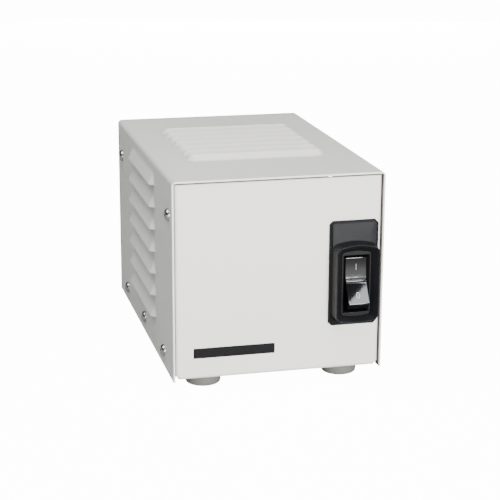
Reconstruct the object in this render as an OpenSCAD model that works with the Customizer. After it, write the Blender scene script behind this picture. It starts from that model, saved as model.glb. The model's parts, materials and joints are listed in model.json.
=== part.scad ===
/* [Case] */
// Outside width of the cover
case_w = 127; // [118:1:150]
// Depth of the cover, from its front edge to its rear edge
case_d = 194.7; // [186:1:240]
// Height of the cover, from its lower edges to its flat top
case_h = 120.3; // [118:1:150]
// Thickness of the painted steel sheet
sheet_t = 1.2; // [0.8:0.1:1.6]
// Outside radius of the cover's two long bends
cover_bend_r = 2.6; // [2.2:0.1:5]
// Outside radius of the chassis bends
chassis_bend_r = 2.2; // [2:0.1:4]
// How far the front and rear panels sit inside the cover's edges
panel_recess = 1.5; // [0.5:0.1:3]
// How far the cover reaches below the underside of the chassis
cover_drop = 0.7; // [0:0.1:2]
// Gap between the front panel's top edge and the sheet above it
front_top_gap = 0.7; // [0.6:0.1:3]
// Gap between the rear panel's top edge and the sheet above it
rear_top_gap = 1.3; // [0.6:0.1:3]
// Depth of the flange that the front panel turns back at each side
front_flange_d = 17; // [15:1:22]
// Depth of the flange that the rear panel turns back at each side
rear_flange_d = 22; // [20:1:24]
// Height of the upstand along each side of the base
upstand_h = 16; // [15:1:20]

/* [Louvres] */
// Distance from one slit to the next
louvre_pitch = 13.85; // [12:0.05:14.2]
// How far a louvre's lip stands out of the sheet
louvre_rise = 3.2; // [2:0.1:4]
// Distance from a louvre's slit to where it meets the sheet again
louvre_reach = 7.5; // [6:0.1:9]
// Length of a louvre on the sides
side_louvre_l = 83; // [60:1:100]
// Length of a louvre on the top
top_louvre_l = 85.4; // [60:1:96]
// Height of the lowest side slit above the cover's lower edge
side_slit_h = 22.9; // [21:0.1:24]
// Distance of the side louvres' middle from the cover's front edge
side_louvre_y = 96.5; // [90:0.5:100]
// Distance of the first top slit from the cover's front edge
top_slit_y = 57.9; // [50:0.1:66]
// Least flat sheet above the highest side louvre
side_margin = 5; // [4:0.5:20]
// Least flat sheet behind the last top louvre
top_margin = 50; // [20:1:60]

/* [Cover screws] */
// Radius of the pan heads
cover_head_r = 3.75; // [3.2:0.05:4.5]
// Height of the pan heads
cover_head_h = 2.3; // [1.8:0.1:3]
// Radius of the screw shanks
cover_shank_r = 1.95; // [1.5:0.05:2.3]
// Length of the shanks under the head
cover_shank_l = 8; // [5:0.5:10]
// Distance of the upper screws below the cover's top
high_screw_drop = 21.5; // [12:0.1:30]
// Distance of the front upper screws from the cover's front edge
high_screw_front = 11; // [9:0.1:12]
// Distance of the rear upper screws from the cover's rear edge
high_screw_rear = 17.1; // [12:0.1:18]
// Height of the lower screws above the cover's lower edge
low_screw_h = 10.4; // [9:0.1:12]
// Distance of the front lower screws from the cover's front edge
low_screw_front = 29.3; // [26:0.1:36]
// Distance of the rear lower screws from the cover's rear edge
low_screw_rear = 33.7; // [31:0.1:40]

/* [Feet] */
// Radius of a foot
foot_r = 10.7; // [8:0.1:13]
// Height of a foot, from the table to the chassis
foot_h = 7.2; // [6.5:0.1:12]
// Radius of the rounded lower rim of a foot
foot_edge_r = 1.4; // [0.5:0.1:2]
// Distance of a foot's centre from the nearest side of the cover
foot_side = 21.2; // [17:0.1:27]
// Distance of a foot's centre from the nearest cover edge
foot_y = 17.5; // [15:0.1:20]
// Radius of the screw that holds a foot
foot_screw_r = 2; // [1.5:0.1:2.5]

/* [Switch] */
// Distance of the switch from the right side of the cover
switch_side = 18.5; // [17.5:0.5:25]
// Height of the rocker's pivot above the cover's lower edge
pivot_h = 55; // [50:0.5:64]
// Width of the bezel plate
bezel_w = 29.7; // [28.5:0.1:31]
// Thickness of the bezel plate
bezel_t = 2.8; // [2:0.1:4]
// Reach of the bezel plate above the pivot
bezel_above = 37; // [28:0.5:45]
// Reach of the bezel plate below the pivot
bezel_below = 26.8; // [26:0.1:34]
// Width of the guard collar round the rocker
collar_w = 26; // [25:0.1:27]
// How far the guard collar stands out of the panel
collar_rise = 11.5; // [9.5:0.1:13]
// Reach of the guard collar above the pivot
collar_above = 24.6; // [23.5:0.1:26]
// Reach of the guard collar below the pivot
collar_below = 23; // [22.5:0.1:24]
// Width of the collar's rim
rim_t = 0.9; // [0.6:0.1:1.4]
// How far the switch frame stands out of the panel
frame_rise = 7.2; // [6:0.1:7.6]
// Width of the switch frame
frame_w = 17.9; // [17.7:0.1:18.4]
// Height of the switch frame
frame_h = 40.1; // [39.6:0.1:40.8]
// Width of the rocker
rocker_w = 12.9; // [11:0.1:12.9]
// Length of each of the rocker's two faces
face_l = 13.2; // [11:0.1:13.4]
// Angle of each face from upright, midway in the throw
face_tilt = 15.5; // [12:0.5:16]
// Angle that the rocker turns between on and off
rocker_throw = 36; // [24:1:36]
// Depth of the switch body behind its frame
switch_depth = 27.7; // [25:0.1:32]
// Radius of the rocker's trunnions
trunnion_r = 1.4; // [1:0.1:1.8]

/* [Transformer] */
// Width of the core's centre leg
core_leg = 36; // [32:1:38]
// Thickness of the stack of laminations
core_stack = 50; // [40:1:60]
// Number of interleaved packets in the stack
packet_count = 6; // [2:2:10]
// Share of the winding depth that the primary takes
primary_share = 0.51; // [0.4:0.01:0.6]
// Thickness of the screen between the windings
screen_t = 0.5; // [0.3:0.1:0.8]
// Thickness of the tape round the coil
wrap_t = 0.6; // [0.4:0.1:0.8]
// Wall of the bobbin
bobbin_t = 1.5; // [1:0.1:1.8]
// Thickness of the two mounting angles
angle_t = 2; // [1.5:0.1:3]
// Width of a mounting angle's foot
angle_foot_w = 16; // [14:0.5:20]
// Height of the core above the base
core_lift = 4; // [3:0.1:5]
// Distance of the core from the cover's front edge
core_setback = 22; // [21:0.5:30]
// Radius of the core bolts
core_bolt_r = 3; // [2.5:0.1:3.5]
// Radius of the screws that hold the mounting angles
mount_screw_r = 2.5; // [2:0.1:3]

/* [Rear sockets] */
// Distance of the mains inlet from the right side of the cover
inlet_side = 29.5; // [29.5:0.5:34]
// Height of the mains inlet's centre above the cover's lower edge
inlet_h = 28; // [24:0.5:40]
// Distance between the inlet's two screws
inlet_screw_pitch = 40; // [40:1:42]
// Depth of the inlet's recess below its face
inlet_recess_d = 17.5; // [15:0.5:18]
// Distance of the duplex outlet from the left side of the cover
outlet_side = 31.5; // [24:0.5:36]
// Distance between the centres of the two outlet faces
outlet_pitch = 38.9; // [38:0.1:40]
// Radius of the round sides of an outlet face
outlet_face_r = 17.45; // [16.5:0.05:18]
// Height of an outlet face between its flats
outlet_face_h = 28.6; // [27:0.1:30]
// How far the outlet faces stand out of the rear panel
outlet_proud = 3.2; // [2:0.1:4]

/* [Hidden] */

// Facets of a full circle
$fn = 48;
// Facets of the louvres' large curves
louvre_fn = 96;
// Steps along the quarter circle of a sheet bend
bend_steps = 6;
// Steps along a corner and along an arch of the switch mouldings
corner_steps = 5;
arch_steps = 8;
// Overrun of a cut, and of one louvre cut past its slit
over = 0.5;
slit_over = 0.05;
// Clearance round a close fit, round a loose fit, and round what drops through a panel
fit_gap = 0.05;
slip = 0.15;
drop_gap = 0.3;
// Thickness of the end slices that a loft spans
film = 0.02;

// Levels and planes of the case
cover_z = foot_h - cover_drop;
top_z = cover_z + case_h;
floor_z = foot_h + sheet_t;
front_top_z = top_z - sheet_t - front_top_gap;
rear_top_z = top_z - sheet_t - rear_top_gap;
cover_slip = 0.3;
chassis_w = case_w - 2 * sheet_t - 2 * cover_slip;

// Rocker: its faces meet at the crease, on each side of a thin rib
crease_reach = 5.5;
rib_half = 0.93;
rib_step = 0.5;
pivot_back = 5.2;
corner_out = crease_reach + face_l * sin(face_tilt);
corner_up = rib_half + face_l * cos(face_tilt);
half_throw = rocker_throw / 2;
// Each face is dished by a shallow arc whose centre stands in front of it
dish_sag = 0.35;
dish_r = (face_l * face_l / 4 + dish_sag * dish_sag) / (2 * dish_sag);
dish_lift = dish_r - dish_sag;
dish_c = [
  -(crease_reach + corner_out) / 2 - dish_lift * cos(face_tilt),
  (rib_half + corner_up) / 2 - dish_lift * sin(face_tilt)
];
dish_sweep = 2 * asin(face_l / 2 / dish_r);
dish_start = face_tilt - dish_sweep / 2;
rocker_end_r = sqrt(corner_out * corner_out + corner_up * corner_up);
rocker_tip = corner_out * cos(half_throw) + corner_up * sin(half_throw) - pivot_back;

// The case stands so that the whole object is centred from front to rear
front_reach = frame_rise + rocker_tip - panel_recess;
rear_reach = outlet_proud - panel_recess;
front_y = (front_reach - rear_reach - case_d) / 2;
rear_y = front_y + case_d;
panel_y = front_y + panel_recess;
back_y = rear_y - panel_recess;
panel_in_y = panel_y + sheet_t;
back_in_y = back_y - sheet_t;

// Louvre: its lip runs along a slit, and its skin is an arc that is flat at the lip
side_louvre_count = 1 + floor((case_h - side_slit_h - louvre_reach - side_margin) / louvre_pitch);
top_louvre_count = 1 + floor((case_d - top_slit_y - top_margin) / louvre_pitch);
louvre_arc_r = (louvre_reach * louvre_reach + louvre_rise * louvre_rise) / (2 * louvre_rise);

// Cover screws on one side, as places in Y and Z
high_screw_z = top_z - high_screw_drop;
low_middle_y = (front_y + low_screw_front + rear_y - low_screw_rear) / 2;
cover_screw_places = [
  [front_y + high_screw_front, high_screw_z],
  [rear_y - high_screw_rear, high_screw_z],
  [front_y + low_screw_front, cover_z + low_screw_h],
  [low_middle_y, cover_z + low_screw_h],
  [rear_y - low_screw_rear, cover_z + low_screw_h]
];
// Pan heads: a cross recess, and a dome whose radius is a share of the head's own
cross_w = 1;
cross_share = 0.6;
cross_depth = 1.2;
dome_share = 1.5;
// How far a screw and a core bolt stand out past their nuts
screw_tail = 1;
bolt_tail = 2;

// Feet
foot_x = case_w / 2 - foot_side;
foot_places = [
  [-foot_x, front_y + foot_y], [foot_x, front_y + foot_y],
  [-foot_x, rear_y - foot_y], [foot_x, rear_y - foot_y]
];
foot_seat_z = 3.4;
foot_pocket_r = 4.6;
foot_head_r = 3.8;
foot_head_h = 2.2;
foot_nut_af = 7;
foot_nut_h = 3.2;

// Switch: the frame drops into a pocket of the bezel, and its body passes the panel
switch_x = case_w / 2 - switch_side;
pivot_z = cover_z + pivot_h;
rim_y = panel_y - collar_rise;
frame_y = panel_y - frame_rise;
pivot_y = frame_y + pivot_back;
bezel_chamfer = 1.3;
bezel_corner = 2;
collar_draft = 0.3;
collar_corner = 4.5;
collar_arch = 2.5;
collar_foot_arch = 1.1;
frame_t = 1.6;
frame_corner = 2;
frame_arch = 1.2;
frame_lip = 0.85;
frame_open_h = 35;
frame_side = 0.5;
frame_end = 1.25;
switch_body_w = frame_w - 2 * frame_side;
switch_body_h = frame_h - 2 * frame_end;
rocker_gap = 0.4;
rocker_end_gap = 0.7;
rocker_back_room = 9;
switch_wall_w = rocker_w + 2 * rocker_gap;
rocker_well_h = 2 * (rocker_end_r + rocker_end_gap);
rocker_well_d = pivot_back + rocker_back_room;
rocker_stem = 6.3;
rocker_stem_half = 2.4;
rocker_back = 1;
ear_w = 6;
ear_h = 1;
ear_l = 5;

// Flat blades for push-on connectors, used by the switch and the inlet
tab_w = 6.3;
tab_t = 0.8;
tab_l = 8;
terminal_z = 9;
sleeve_w = 7.8;
sleeve_t = 3.2;
sleeve_l = 14;
sleeve_bite = tab_l - drop_gap + slip;

// Transformer: scrapless E and I laminations standing in the plane of Y and Z
yoke_w = core_leg / 2;
window_h = core_leg * 3 / 2;
core_l = 3 * core_leg;
core_h = window_h + 2 * yoke_w;
core_mid_y = front_y + core_setback + core_l / 2;
core_z = floor_z + core_lift;
packet_t = core_stack / packet_count;
bolt_hole_r = core_bolt_r + 0.2;
bolt_inset = yoke_w / 2;
packet_gap = 0.05;
bolt_places = [
  for (s = [-1, 1], z = [bolt_inset, core_h - bolt_inset])
    [core_mid_y + s * (core_l / 2 - bolt_inset), core_z + z]
];
bolt_head_af = 10;
bolt_head_h = 4;
bolt_nut_h = 5;
washer_r = 7;
bobbin_gap = 0.3;
bobbin_top_gap = 0.5;
tube_y = core_leg / 2 + bobbin_gap + bobbin_t;
tube_x = core_stack / 2 + bobbin_gap + bobbin_t;
coil_corner = 2.5;
bobbin_z = core_z + yoke_w + bobbin_top_gap;
bobbin_h = window_h - 2 * bobbin_top_gap;
winding_z = bobbin_z + bobbin_t;
winding_h = bobbin_h - 2 * bobbin_t;
flange_gap = 0.6;
flange_lip = 0.9;
flange_out = yoke_w - bobbin_gap - bobbin_t - flange_gap;
winding_t = flange_out - flange_lip - screen_t - wrap_t;
primary_t = winding_t * primary_share;
secondary_t = winding_t - primary_t;
angle_step = 2;
angle_h = core_lift + yoke_w - angle_step;
mount_screw_out = 7;
mount_screw_x = core_stack / 2 + angle_t + mount_screw_out;
mount_screw_in = 18;
mount_screw_y = core_l / 2 - mount_screw_in;
angle_end = 3;
angle_l = core_l - 2 * angle_end;
mount_places = [for (i = [-1, 1], j = [-1, 1]) [i * mount_screw_x, core_mid_y + j * mount_screw_y]];
mount_head_r = 4.6;
mount_head_h = 2.6;
mount_nut_af = 8;
mount_nut_h = 4;

// Mains inlet
inlet_x = case_w / 2 - inlet_side;
inlet_z = cover_z + inlet_h;
inlet_flange_w = 50;
inlet_flange_h = 24;
inlet_flange_t = 3;
inlet_corner = 3;
inlet_body_w = 27.4;
inlet_body_h = 20.4;
inlet_body_cut = 4;
inlet_wall_t = 1.6;
inlet_floor_t = 2.5;
inlet_screw_r = 1.5;
inlet_head_r = 2.9;
inlet_nut_af = 5.5;
inlet_nut_h = 2.4;
pin_w = 2;
pin_h = 4;
pin_l = 13;
pin_side = 7;
pin_offset = 2;
inlet_face_y = back_y + inlet_flange_t;
inlet_floor_y = inlet_face_y - inlet_recess_d;
inlet_rear_y = inlet_floor_y - inlet_floor_t;
pin_places = [[-pin_side, -pin_offset], [pin_side, -pin_offset], [0, pin_offset]];

// Duplex outlet
outlet_x = outlet_side - case_w / 2;
outlet_z = (floor_z + rear_top_z) / 2;
outlet_w = 33;
outlet_end = 0.2;
outlet_len = outlet_pitch + outlet_face_h + 2 * outlet_end;
strap_screw_in = 7.72;
strap_screw_pitch = outlet_len + 2 * strap_screw_in;
strap_end = 5;
outlet_cap_t = 4;
outlet_base_d = 19;
outlet_corner = 3;
slot_w = 2.2;
slot_side = 6.35;
slot_up = 4;
line_slot_h = 6.6;
neutral_slot_h = 8.2;
earth_hole_r = 2.5;
earth_hole_down = 7.9;
slot_d = 16;
bar_t = 1;
bar_in = 3.2;
bar_inset = 6;
bar_l = outlet_len - 2 * bar_inset;
earth_bar_w = 5.6;
strap_t = 1.2;
strap_l = strap_screw_pitch + 2 * strap_end;
strap_w = 15;
ear_plate_w = 32;
ear_plate_corner = 6;
strap_screw_r = 1.75;
strap_head_r = 3.4;
strap_head_h = 1.5;
outlet_back_y = back_in_y - outlet_cap_t - outlet_base_d;
slot_end_y = back_y + outlet_proud - slot_d;
bar_flange_d = back_in_y - outlet_cap_t - slip - slot_end_y + bar_t;
out_side_y = slot_end_y - bar_t + bar_flange_d / 2;
side_screw_r = 1.5;
side_head_r = 3.2;
side_head_h = 1.6;
side_screw_l = 4;
side_screw_z = 12;

// Earth stud on the base
earth_stud_side = 12;
earth_stud_back = 28;
earth_stud_x = case_w / 2 - earth_stud_side;
earth_stud_y = rear_y - earth_stud_back;
stud_r = 2;
stud_foot_r = 4;
stud_foot_h = 0.8;
stud_h = 11;
ring_r = 4;
ring_t = 0.8;
ring_barrel_r = 1.7;
ring_barrel_l = 7;
earth_nut_af = 7;
earth_nut_h = 3.2;

// Leads: a radius, a number of sides, and steps between the points of a route
lead_r = 1.4;
lead_sides = 8;
lead_steps = 3;
strip_gap = 0.3;

// Points of an arc about c, from angle a0 to angle a1
function arc(c, r, a0, a1, steps) =
  [for (i = [0 : steps]) let (a = a0 + (a1 - a0) * i / steps) c + r * [cos(a), sin(a)]];

// A rectangle about the origin with round corners, all arcs true
module round_rect(w, h, r) {
  square([w - 2 * r, h], center = true);
  square([w, h - 2 * r], center = true);
  for (i = [-1, 1], j = [-1, 1])
    translate([i * (w / 2 - r), j * (h / 2 - r)]) circle(r);
}

// A rectangle about the origin with cut corners
function cut_rect(w, h, c) = [
  [w / 2, h / 2 - c], [w / 2 - c, h / 2], [-w / 2 + c, h / 2], [-w / 2, h / 2 - c],
  [-w / 2, -h / 2 + c], [-w / 2 + c, -h / 2], [w / 2 - c, -h / 2], [w / 2, -h / 2 + c]
];

// Drop of a shallow arch from its crown, at x
function arch_drop(x, w, sag) =
  let (r = (w * w / 4 + sag * sag) / (2 * sag)) r - sqrt(r * r - x * x);

// An upright outline with an arched top and bottom and round corners
function shield(w, up, down, sag, foot_sag, r) =
  let (
    xc = w / 2 - r,
    zt = up - r - arch_drop(xc, w, sag),
    zb = -down + r + arch_drop(xc, w, foot_sag),
    across = [for (i = [1 : arch_steps - 1]) xc - 2 * xc * i / arch_steps]
  )
  concat(
    arc([xc, zt], r, 0, 90, corner_steps),
    [for (x = across) [x, up - arch_drop(x, w, sag)]],
    arc([-xc, zt], r, 90, 180, corner_steps),
    arc([-xc, zb], r, 180, 270, corner_steps),
    [for (x = across) [-x, -down + arch_drop(x, w, foot_sag)]],
    arc([xc, zb], r, 270, 360, corner_steps)
  );

// Section of a bent edge: a sheet that turns up by a right angle, h high
function bent_edge(h) = concat(
  [[0, 0]],
  arc([0, chassis_bend_r], chassis_bend_r, 270, 360, bend_steps),
  [[chassis_bend_r, h], [chassis_bend_r - sheet_t, h]],
  arc([0, chassis_bend_r], chassis_bend_r - sheet_t, 360, 270, bend_steps),
  [[0, sheet_t]]
);

// Stands an outline drawn in X and Z upright, from y0 back by t
module upright(y0, t) {
  translate([0, y0 + t, 0]) rotate([90, 0, 0]) linear_extrude(t) children();
}

// Extrudes an outline drawn in Y and Z along X, centred
module along_x(w) {
  rotate([90, 0, 90]) linear_extrude(w, center = true) children();
}

// Turns a piece that points along Z to point along X or along Y
module point_x() {
  rotate([0, 90, 0]) children();
}
module point_back() {
  rotate([-90, 0, 0]) children();
}
module point_front() {
  rotate([90, 0, 0]) children();
}

// A pan-head screw: the head stands on Z zero, the shank hangs below it
module pan_screw(head_r, head_h, shank_r, shank_l) {
  difference() {
    union() {
      rotate_extrude() intersection() {
        translate([0, head_h - head_r * dome_share]) circle(head_r * dome_share, $fn = louvre_fn);
        square([head_r, head_h]);
      }
      translate([0, 0, -shank_l]) cylinder(r = shank_r, h = shank_l + head_h / 2);
    }
    for (a = [0, 90])
      rotate([0, 0, a]) translate([0, 0, head_h])
        cube([2 * head_r * cross_share, cross_w, 2 * cross_depth], center = true);
  }
}

// A hexagon nut standing on Z zero
module hex_nut(af, h, bore_r) {
  difference() {
    cylinder(r = af / sqrt(3), h = h, $fn = 6);
    translate([0, 0, -over]) cylinder(r = bore_r, h = h + 2 * over);
  }
}

// A louvre of length l with its slit along X: the skin swells along Z and ends in two quarter domes
module louvre_section(r, low) {
  intersection() {
    translate([0, louvre_rise - louvre_arc_r]) circle(r, $fn = louvre_fn);
    translate([0, low]) square([2 * louvre_reach, 2 * louvre_reach]);
  }
}
module louvre(l, r, low) {
  straight = l - 2 * louvre_reach;
  along_x(straight) louvre_section(r, low);
  for (s = [-1, 1])
    translate([s * straight / 2, 0, 0]) rotate([0, 0, s < 0 ? 90 : 0])
      rotate_extrude(angle = 90, $fn = louvre_fn) louvre_section(r, low);
}

// Places child 0 at each side louvre and child 1 at each top louvre
module at_louvres() {
  for (k = [0 : side_louvre_count - 1], s = [-1, 1])
    translate([s * case_w / 2, front_y + side_louvre_y, cover_z + side_slit_h + k * louvre_pitch])
      rotate([90, 0, s * 90]) children(0);
  for (k = [0 : top_louvre_count - 1])
    translate([0, front_y + top_slit_y + k * louvre_pitch, top_z]) rotate([0, 0, 180]) children(1);
}

// Places a piece at each cover screw, its axis pointing out of the case
module at_cover_screws() {
  for (s = [-1, 1], p = cover_screw_places)
    translate([s * case_w / 2, p[0], p[1]]) rotate([0, s * 90, 0]) children();
}

module cover() {
  w = case_w / 2;
  h = case_h;
  bend = [w - cover_bend_r, h - cover_bend_r];
  ri = cover_bend_r - sheet_t;
  half = concat([[w, 0]], arc(bend, cover_bend_r, 0, 90, bend_steps));
  half_in = concat([[w - sheet_t, 0]], arc(bend, ri, 0, 90, bend_steps));
  outline = concat(
    half,
    [for (i = [len(half) - 1 : -1 : 0]) [-half[i][0], half[i][1]]],
    [for (p = half_in) [-p[0], p[1]]],
    [for (i = [len(half_in) - 1 : -1 : 0]) half_in[i]]
  );
  hollow_r = louvre_arc_r - sheet_t;
  color("gainsboro") difference() {
    union() {
      translate([0, 0, cover_z]) upright(front_y, case_d) polygon(outline);
      at_louvres() {
        louvre(side_louvre_l, louvre_arc_r, -sheet_t / 2);
        louvre(top_louvre_l, louvre_arc_r, -sheet_t / 2);
      }
    }
    at_louvres() {
      translate([0, -slit_over, 0]) louvre(side_louvre_l, hollow_r, -2 * sheet_t);
      translate([0, -slit_over, 0]) louvre(top_louvre_l, hollow_r, -2 * sheet_t);
    }
    at_cover_screws() cylinder(r = cover_shank_r + slip, h = 2 * (sheet_t + over), center = true);
  }
}

module chassis() {
  flat_x = chassis_w / 2 - chassis_bend_r;
  ro = chassis_bend_r;
  ri = ro - sheet_t;
  front_c = [panel_y + ro, foot_h + ro];
  rear_c = [back_y - ro, foot_h + ro];
  outline = concat(
    [[panel_y, front_top_z]],
    arc(front_c, ro, 180, 270, bend_steps),
    arc(rear_c, ro, 270, 360, bend_steps),
    [[back_y, rear_top_z], [back_in_y, rear_top_z]],
    arc(rear_c, ri, 360, 270, bend_steps),
    arc(front_c, ri, 270, 180, bend_steps),
    [[panel_in_y, front_top_z]]
  );
  upstand_front = panel_y + front_flange_d + 2 * sheet_t;
  upstand_rear = back_y - rear_flange_d - 2 * sheet_t;
  flange_z = foot_h + ro;
  color("gainsboro") difference() {
    union() {
      along_x(2 * flat_x) polygon(outline);
      for (s = [0, 1]) mirror([s, 0, 0]) {
        translate([flat_x, 0, foot_h]) upright(upstand_front, upstand_rear - upstand_front)
          polygon(bent_edge(upstand_h));
        translate([flat_x, panel_y, flange_z])
          linear_extrude(front_top_z - flange_z) polygon(bent_edge(front_flange_d));
        translate([flat_x, back_y, flange_z])
          linear_extrude(rear_top_z - flange_z) mirror([0, 1]) polygon(bent_edge(rear_flange_d));
      }
    }
    // Screw holes in the side flanges
    for (p = cover_screw_places)
      translate([0, p[0], p[1]]) point_x() cylinder(r = cover_shank_r + fit_gap, h = case_w, center = true);
    // Foot, transformer and earth holes in the base
    for (p = foot_places)
      translate([p[0], p[1], foot_h - over]) cylinder(r = foot_screw_r + slip, h = sheet_t + 2 * over);
    for (p = mount_places)
      translate([p[0], p[1], foot_h - over]) cylinder(r = mount_screw_r + slip, h = sheet_t + 2 * over);
    // Switch opening in the front panel
    translate([switch_x, 0, pivot_z]) upright(panel_y - over, sheet_t + 2 * over)
      square([switch_body_w + 2 * drop_gap, switch_body_h + 2 * drop_gap], center = true);
    // Inlet opening and screw holes in the rear panel
    translate([inlet_x, 0, inlet_z]) upright(back_in_y - over, sheet_t + 2 * over) {
      square([inlet_body_w + 2 * drop_gap, inlet_body_h + 2 * drop_gap], center = true);
      for (s = [-1, 1]) translate([s * inlet_screw_pitch / 2, 0]) circle(inlet_screw_r + slip);
    }
    // Outlet openings and screw holes in the rear panel
    translate([outlet_x, 0, outlet_z]) upright(back_in_y - over, sheet_t + 2 * over) {
      for (s = [-1, 1]) translate([0, s * outlet_pitch / 2]) outlet_outline(drop_gap);
      for (s = [-1, 1]) translate([0, s * strap_screw_pitch / 2]) circle(strap_screw_r + slip);
    }
  }
}

module cover_screws() {
  color("silver") at_cover_screws() pan_screw(cover_head_r, cover_head_h, cover_shank_r, cover_shank_l);
}

// One foot: a round bumper with a pocket for its screw
module foot(place) {
  outline = concat(
    [[0, 0]],
    arc([foot_r - foot_edge_r, foot_edge_r], foot_edge_r, 270, 360, bend_steps),
    [[foot_r, foot_h], [0, foot_h]]
  );
  color("darkgray") translate([place[0], place[1], 0]) difference() {
    rotate_extrude() polygon(outline);
    translate([0, 0, -over]) cylinder(r = foot_pocket_r, h = foot_seat_z + over);
    cylinder(r = foot_screw_r + slip, h = foot_h + over);
  }
}
module foot_screws() {
  shank_l = foot_h - foot_seat_z + sheet_t + foot_nut_h + screw_tail;
  color("silver") for (p = foot_places)
    translate([p[0], p[1], foot_seat_z]) mirror([0, 0, 1])
      pan_screw(foot_head_r, foot_head_h, foot_screw_r, shank_l);
}
module foot_nuts() {
  color("silver") for (p = foot_places)
    translate([p[0], p[1], floor_z]) hex_nut(foot_nut_af, foot_nut_h, foot_screw_r + fit_gap);
}

// Places a piece in the plane of the switch, with the pivot at the origin of X and Z
module at_switch() {
  translate([switch_x, 0, pivot_z]) children();
}

module switch_bezel() {
  mid = (bezel_above - bezel_below) / 2;
  plate_h = bezel_above + bezel_below;
  side = bezel_t - bezel_chamfer;
  inner_w = collar_w - 2 * rim_t;
  color("dimgray") at_switch() difference() {
    union() {
      hull() {
        upright(panel_y - side, side) translate([0, mid]) polygon(cut_rect(bezel_w, plate_h, bezel_corner));
        upright(panel_y - bezel_t, film) translate([0, mid])
          polygon(cut_rect(bezel_w - 2 * bezel_chamfer, plate_h - 2 * bezel_chamfer, bezel_corner));
      }
      hull() {
        upright(panel_y - bezel_t, bezel_t / 2) polygon(shield(
          collar_w + 2 * collar_draft, collar_above + collar_draft, collar_below + collar_draft,
          collar_arch, collar_foot_arch, collar_corner));
        upright(rim_y, film) polygon(shield(
          collar_w, collar_above, collar_below, collar_arch, collar_foot_arch, collar_corner));
      }
    }
    hull() {
      upright(rim_y - film, 2 * film) polygon(shield(
        inner_w, collar_above - rim_t, collar_below - rim_t,
        collar_arch, collar_foot_arch, collar_corner - rim_t));
      upright(frame_y, film) polygon(frame_outline(slip));
    }
    upright(frame_y, frame_t) polygon(frame_outline(slip));
    upright(frame_y, frame_rise + over)
      square([switch_body_w + 2 * slip, switch_body_h + 2 * slip], center = true);
  }
}

// Outline of the switch frame, grown by g
function frame_outline(g) = shield(
  frame_w + 2 * g, frame_h / 2 + g, frame_h / 2 + g, frame_arch, frame_arch, frame_corner + g);

module switch_housing() {
  blade_slot = [tab_w + 2 * fit_gap, tab_t + 2 * fit_gap];
  well_back = frame_y + rocker_well_d;
  ear_y = panel_in_y + fit_gap;
  color("dimgray") at_switch() difference() {
    union() {
      upright(frame_y, frame_t) polygon(frame_outline(0));
      upright(frame_y, switch_depth) square([switch_body_w, switch_body_h], center = true);
      for (s = [0, 1]) mirror([0, 0, s]) along_x(ear_w) polygon([
        [ear_y, switch_body_h / 2 - over], [ear_y, switch_body_h / 2 + ear_h],
        [ear_y + ear_l, switch_body_h / 2], [ear_y + ear_l, switch_body_h / 2 - over]
      ]);
    }
    hull() {
      upright(frame_y - film, film) square([frame_w - 2 * frame_lip, frame_open_h], center = true);
      upright(frame_y + frame_t, film) square([switch_wall_w, rocker_well_h], center = true);
    }
    upright(frame_y + frame_t, rocker_well_d - frame_t) square([switch_wall_w, rocker_well_h], center = true);
    translate([0, pivot_y, 0]) point_x()
      cylinder(r = trunnion_r + fit_gap, h = frame_w, center = true);
    for (s = [-1, 1]) translate([0, 0, s * terminal_z])
      upright(well_back - over, switch_depth) square(blade_slot, center = true);
  }
}

// The rocker's section in Y and Z about its pivot, midway in its throw
module rocker_section() {
  upper = [
    [-crease_reach - rib_step, 0], [-crease_reach - rib_step, rib_half / 2],
    [-crease_reach + rib_step, rib_half / 2], [-crease_reach + rib_step, rib_half],
    [-crease_reach, rib_half]
  ];
  face = arc(dish_c, dish_r, dish_start, dish_start + dish_sweep, corner_steps);
  corner_angle = atan2(corner_up, -corner_out);
  end_angle = acos(rocker_back / rocker_end_r);
  end_arc = arc([0, 0], rocker_end_r, corner_angle, end_angle, corner_steps);
  back = [[rocker_back + trunnion_r, rocker_end_r / 2], [rocker_stem, rocker_stem_half]];
  half = concat(
    upper,
    [for (i = [1 : corner_steps]) face[i]],
    [for (i = [1 : corner_steps]) end_arc[i]],
    back
  );
  polygon(concat(half, [for (i = [len(half) - 1 : -1 : 1]) [half[i][0], -half[i][1]]]));
}
module rocker() {
  trunnion_l = switch_body_w - 2 * slip;
  color("black") translate([switch_x, pivot_y, pivot_z]) rotate([-half_throw, 0, 0]) {
    along_x(rocker_w) rocker_section();
    point_x() cylinder(r = trunnion_r, h = trunnion_l, center = true);
  }
}

module switch_terminals() {
  well_back = frame_y + rocker_well_d;
  back = frame_y + switch_depth;
  color("goldenrod") at_switch() for (s = [-1, 1]) translate([0, 0, s * terminal_z]) {
    upright(well_back, back + tab_l - well_back) square([tab_w, tab_t], center = true);
  }
}

// Outline of an E lamination in Y and Z, its yoke at the bottom
module e_outline() {
  half = core_l / 2;
  tall = yoke_w + window_h;
  polygon([
    [-half, 0], [half, 0], [half, tall], [half - yoke_w, tall], [half - yoke_w, yoke_w],
    [core_leg / 2, yoke_w], [core_leg / 2, tall], [-core_leg / 2, tall], [-core_leg / 2, yoke_w],
    [-half + yoke_w, yoke_w], [-half + yoke_w, tall], [-half, tall]
  ]);
}

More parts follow.
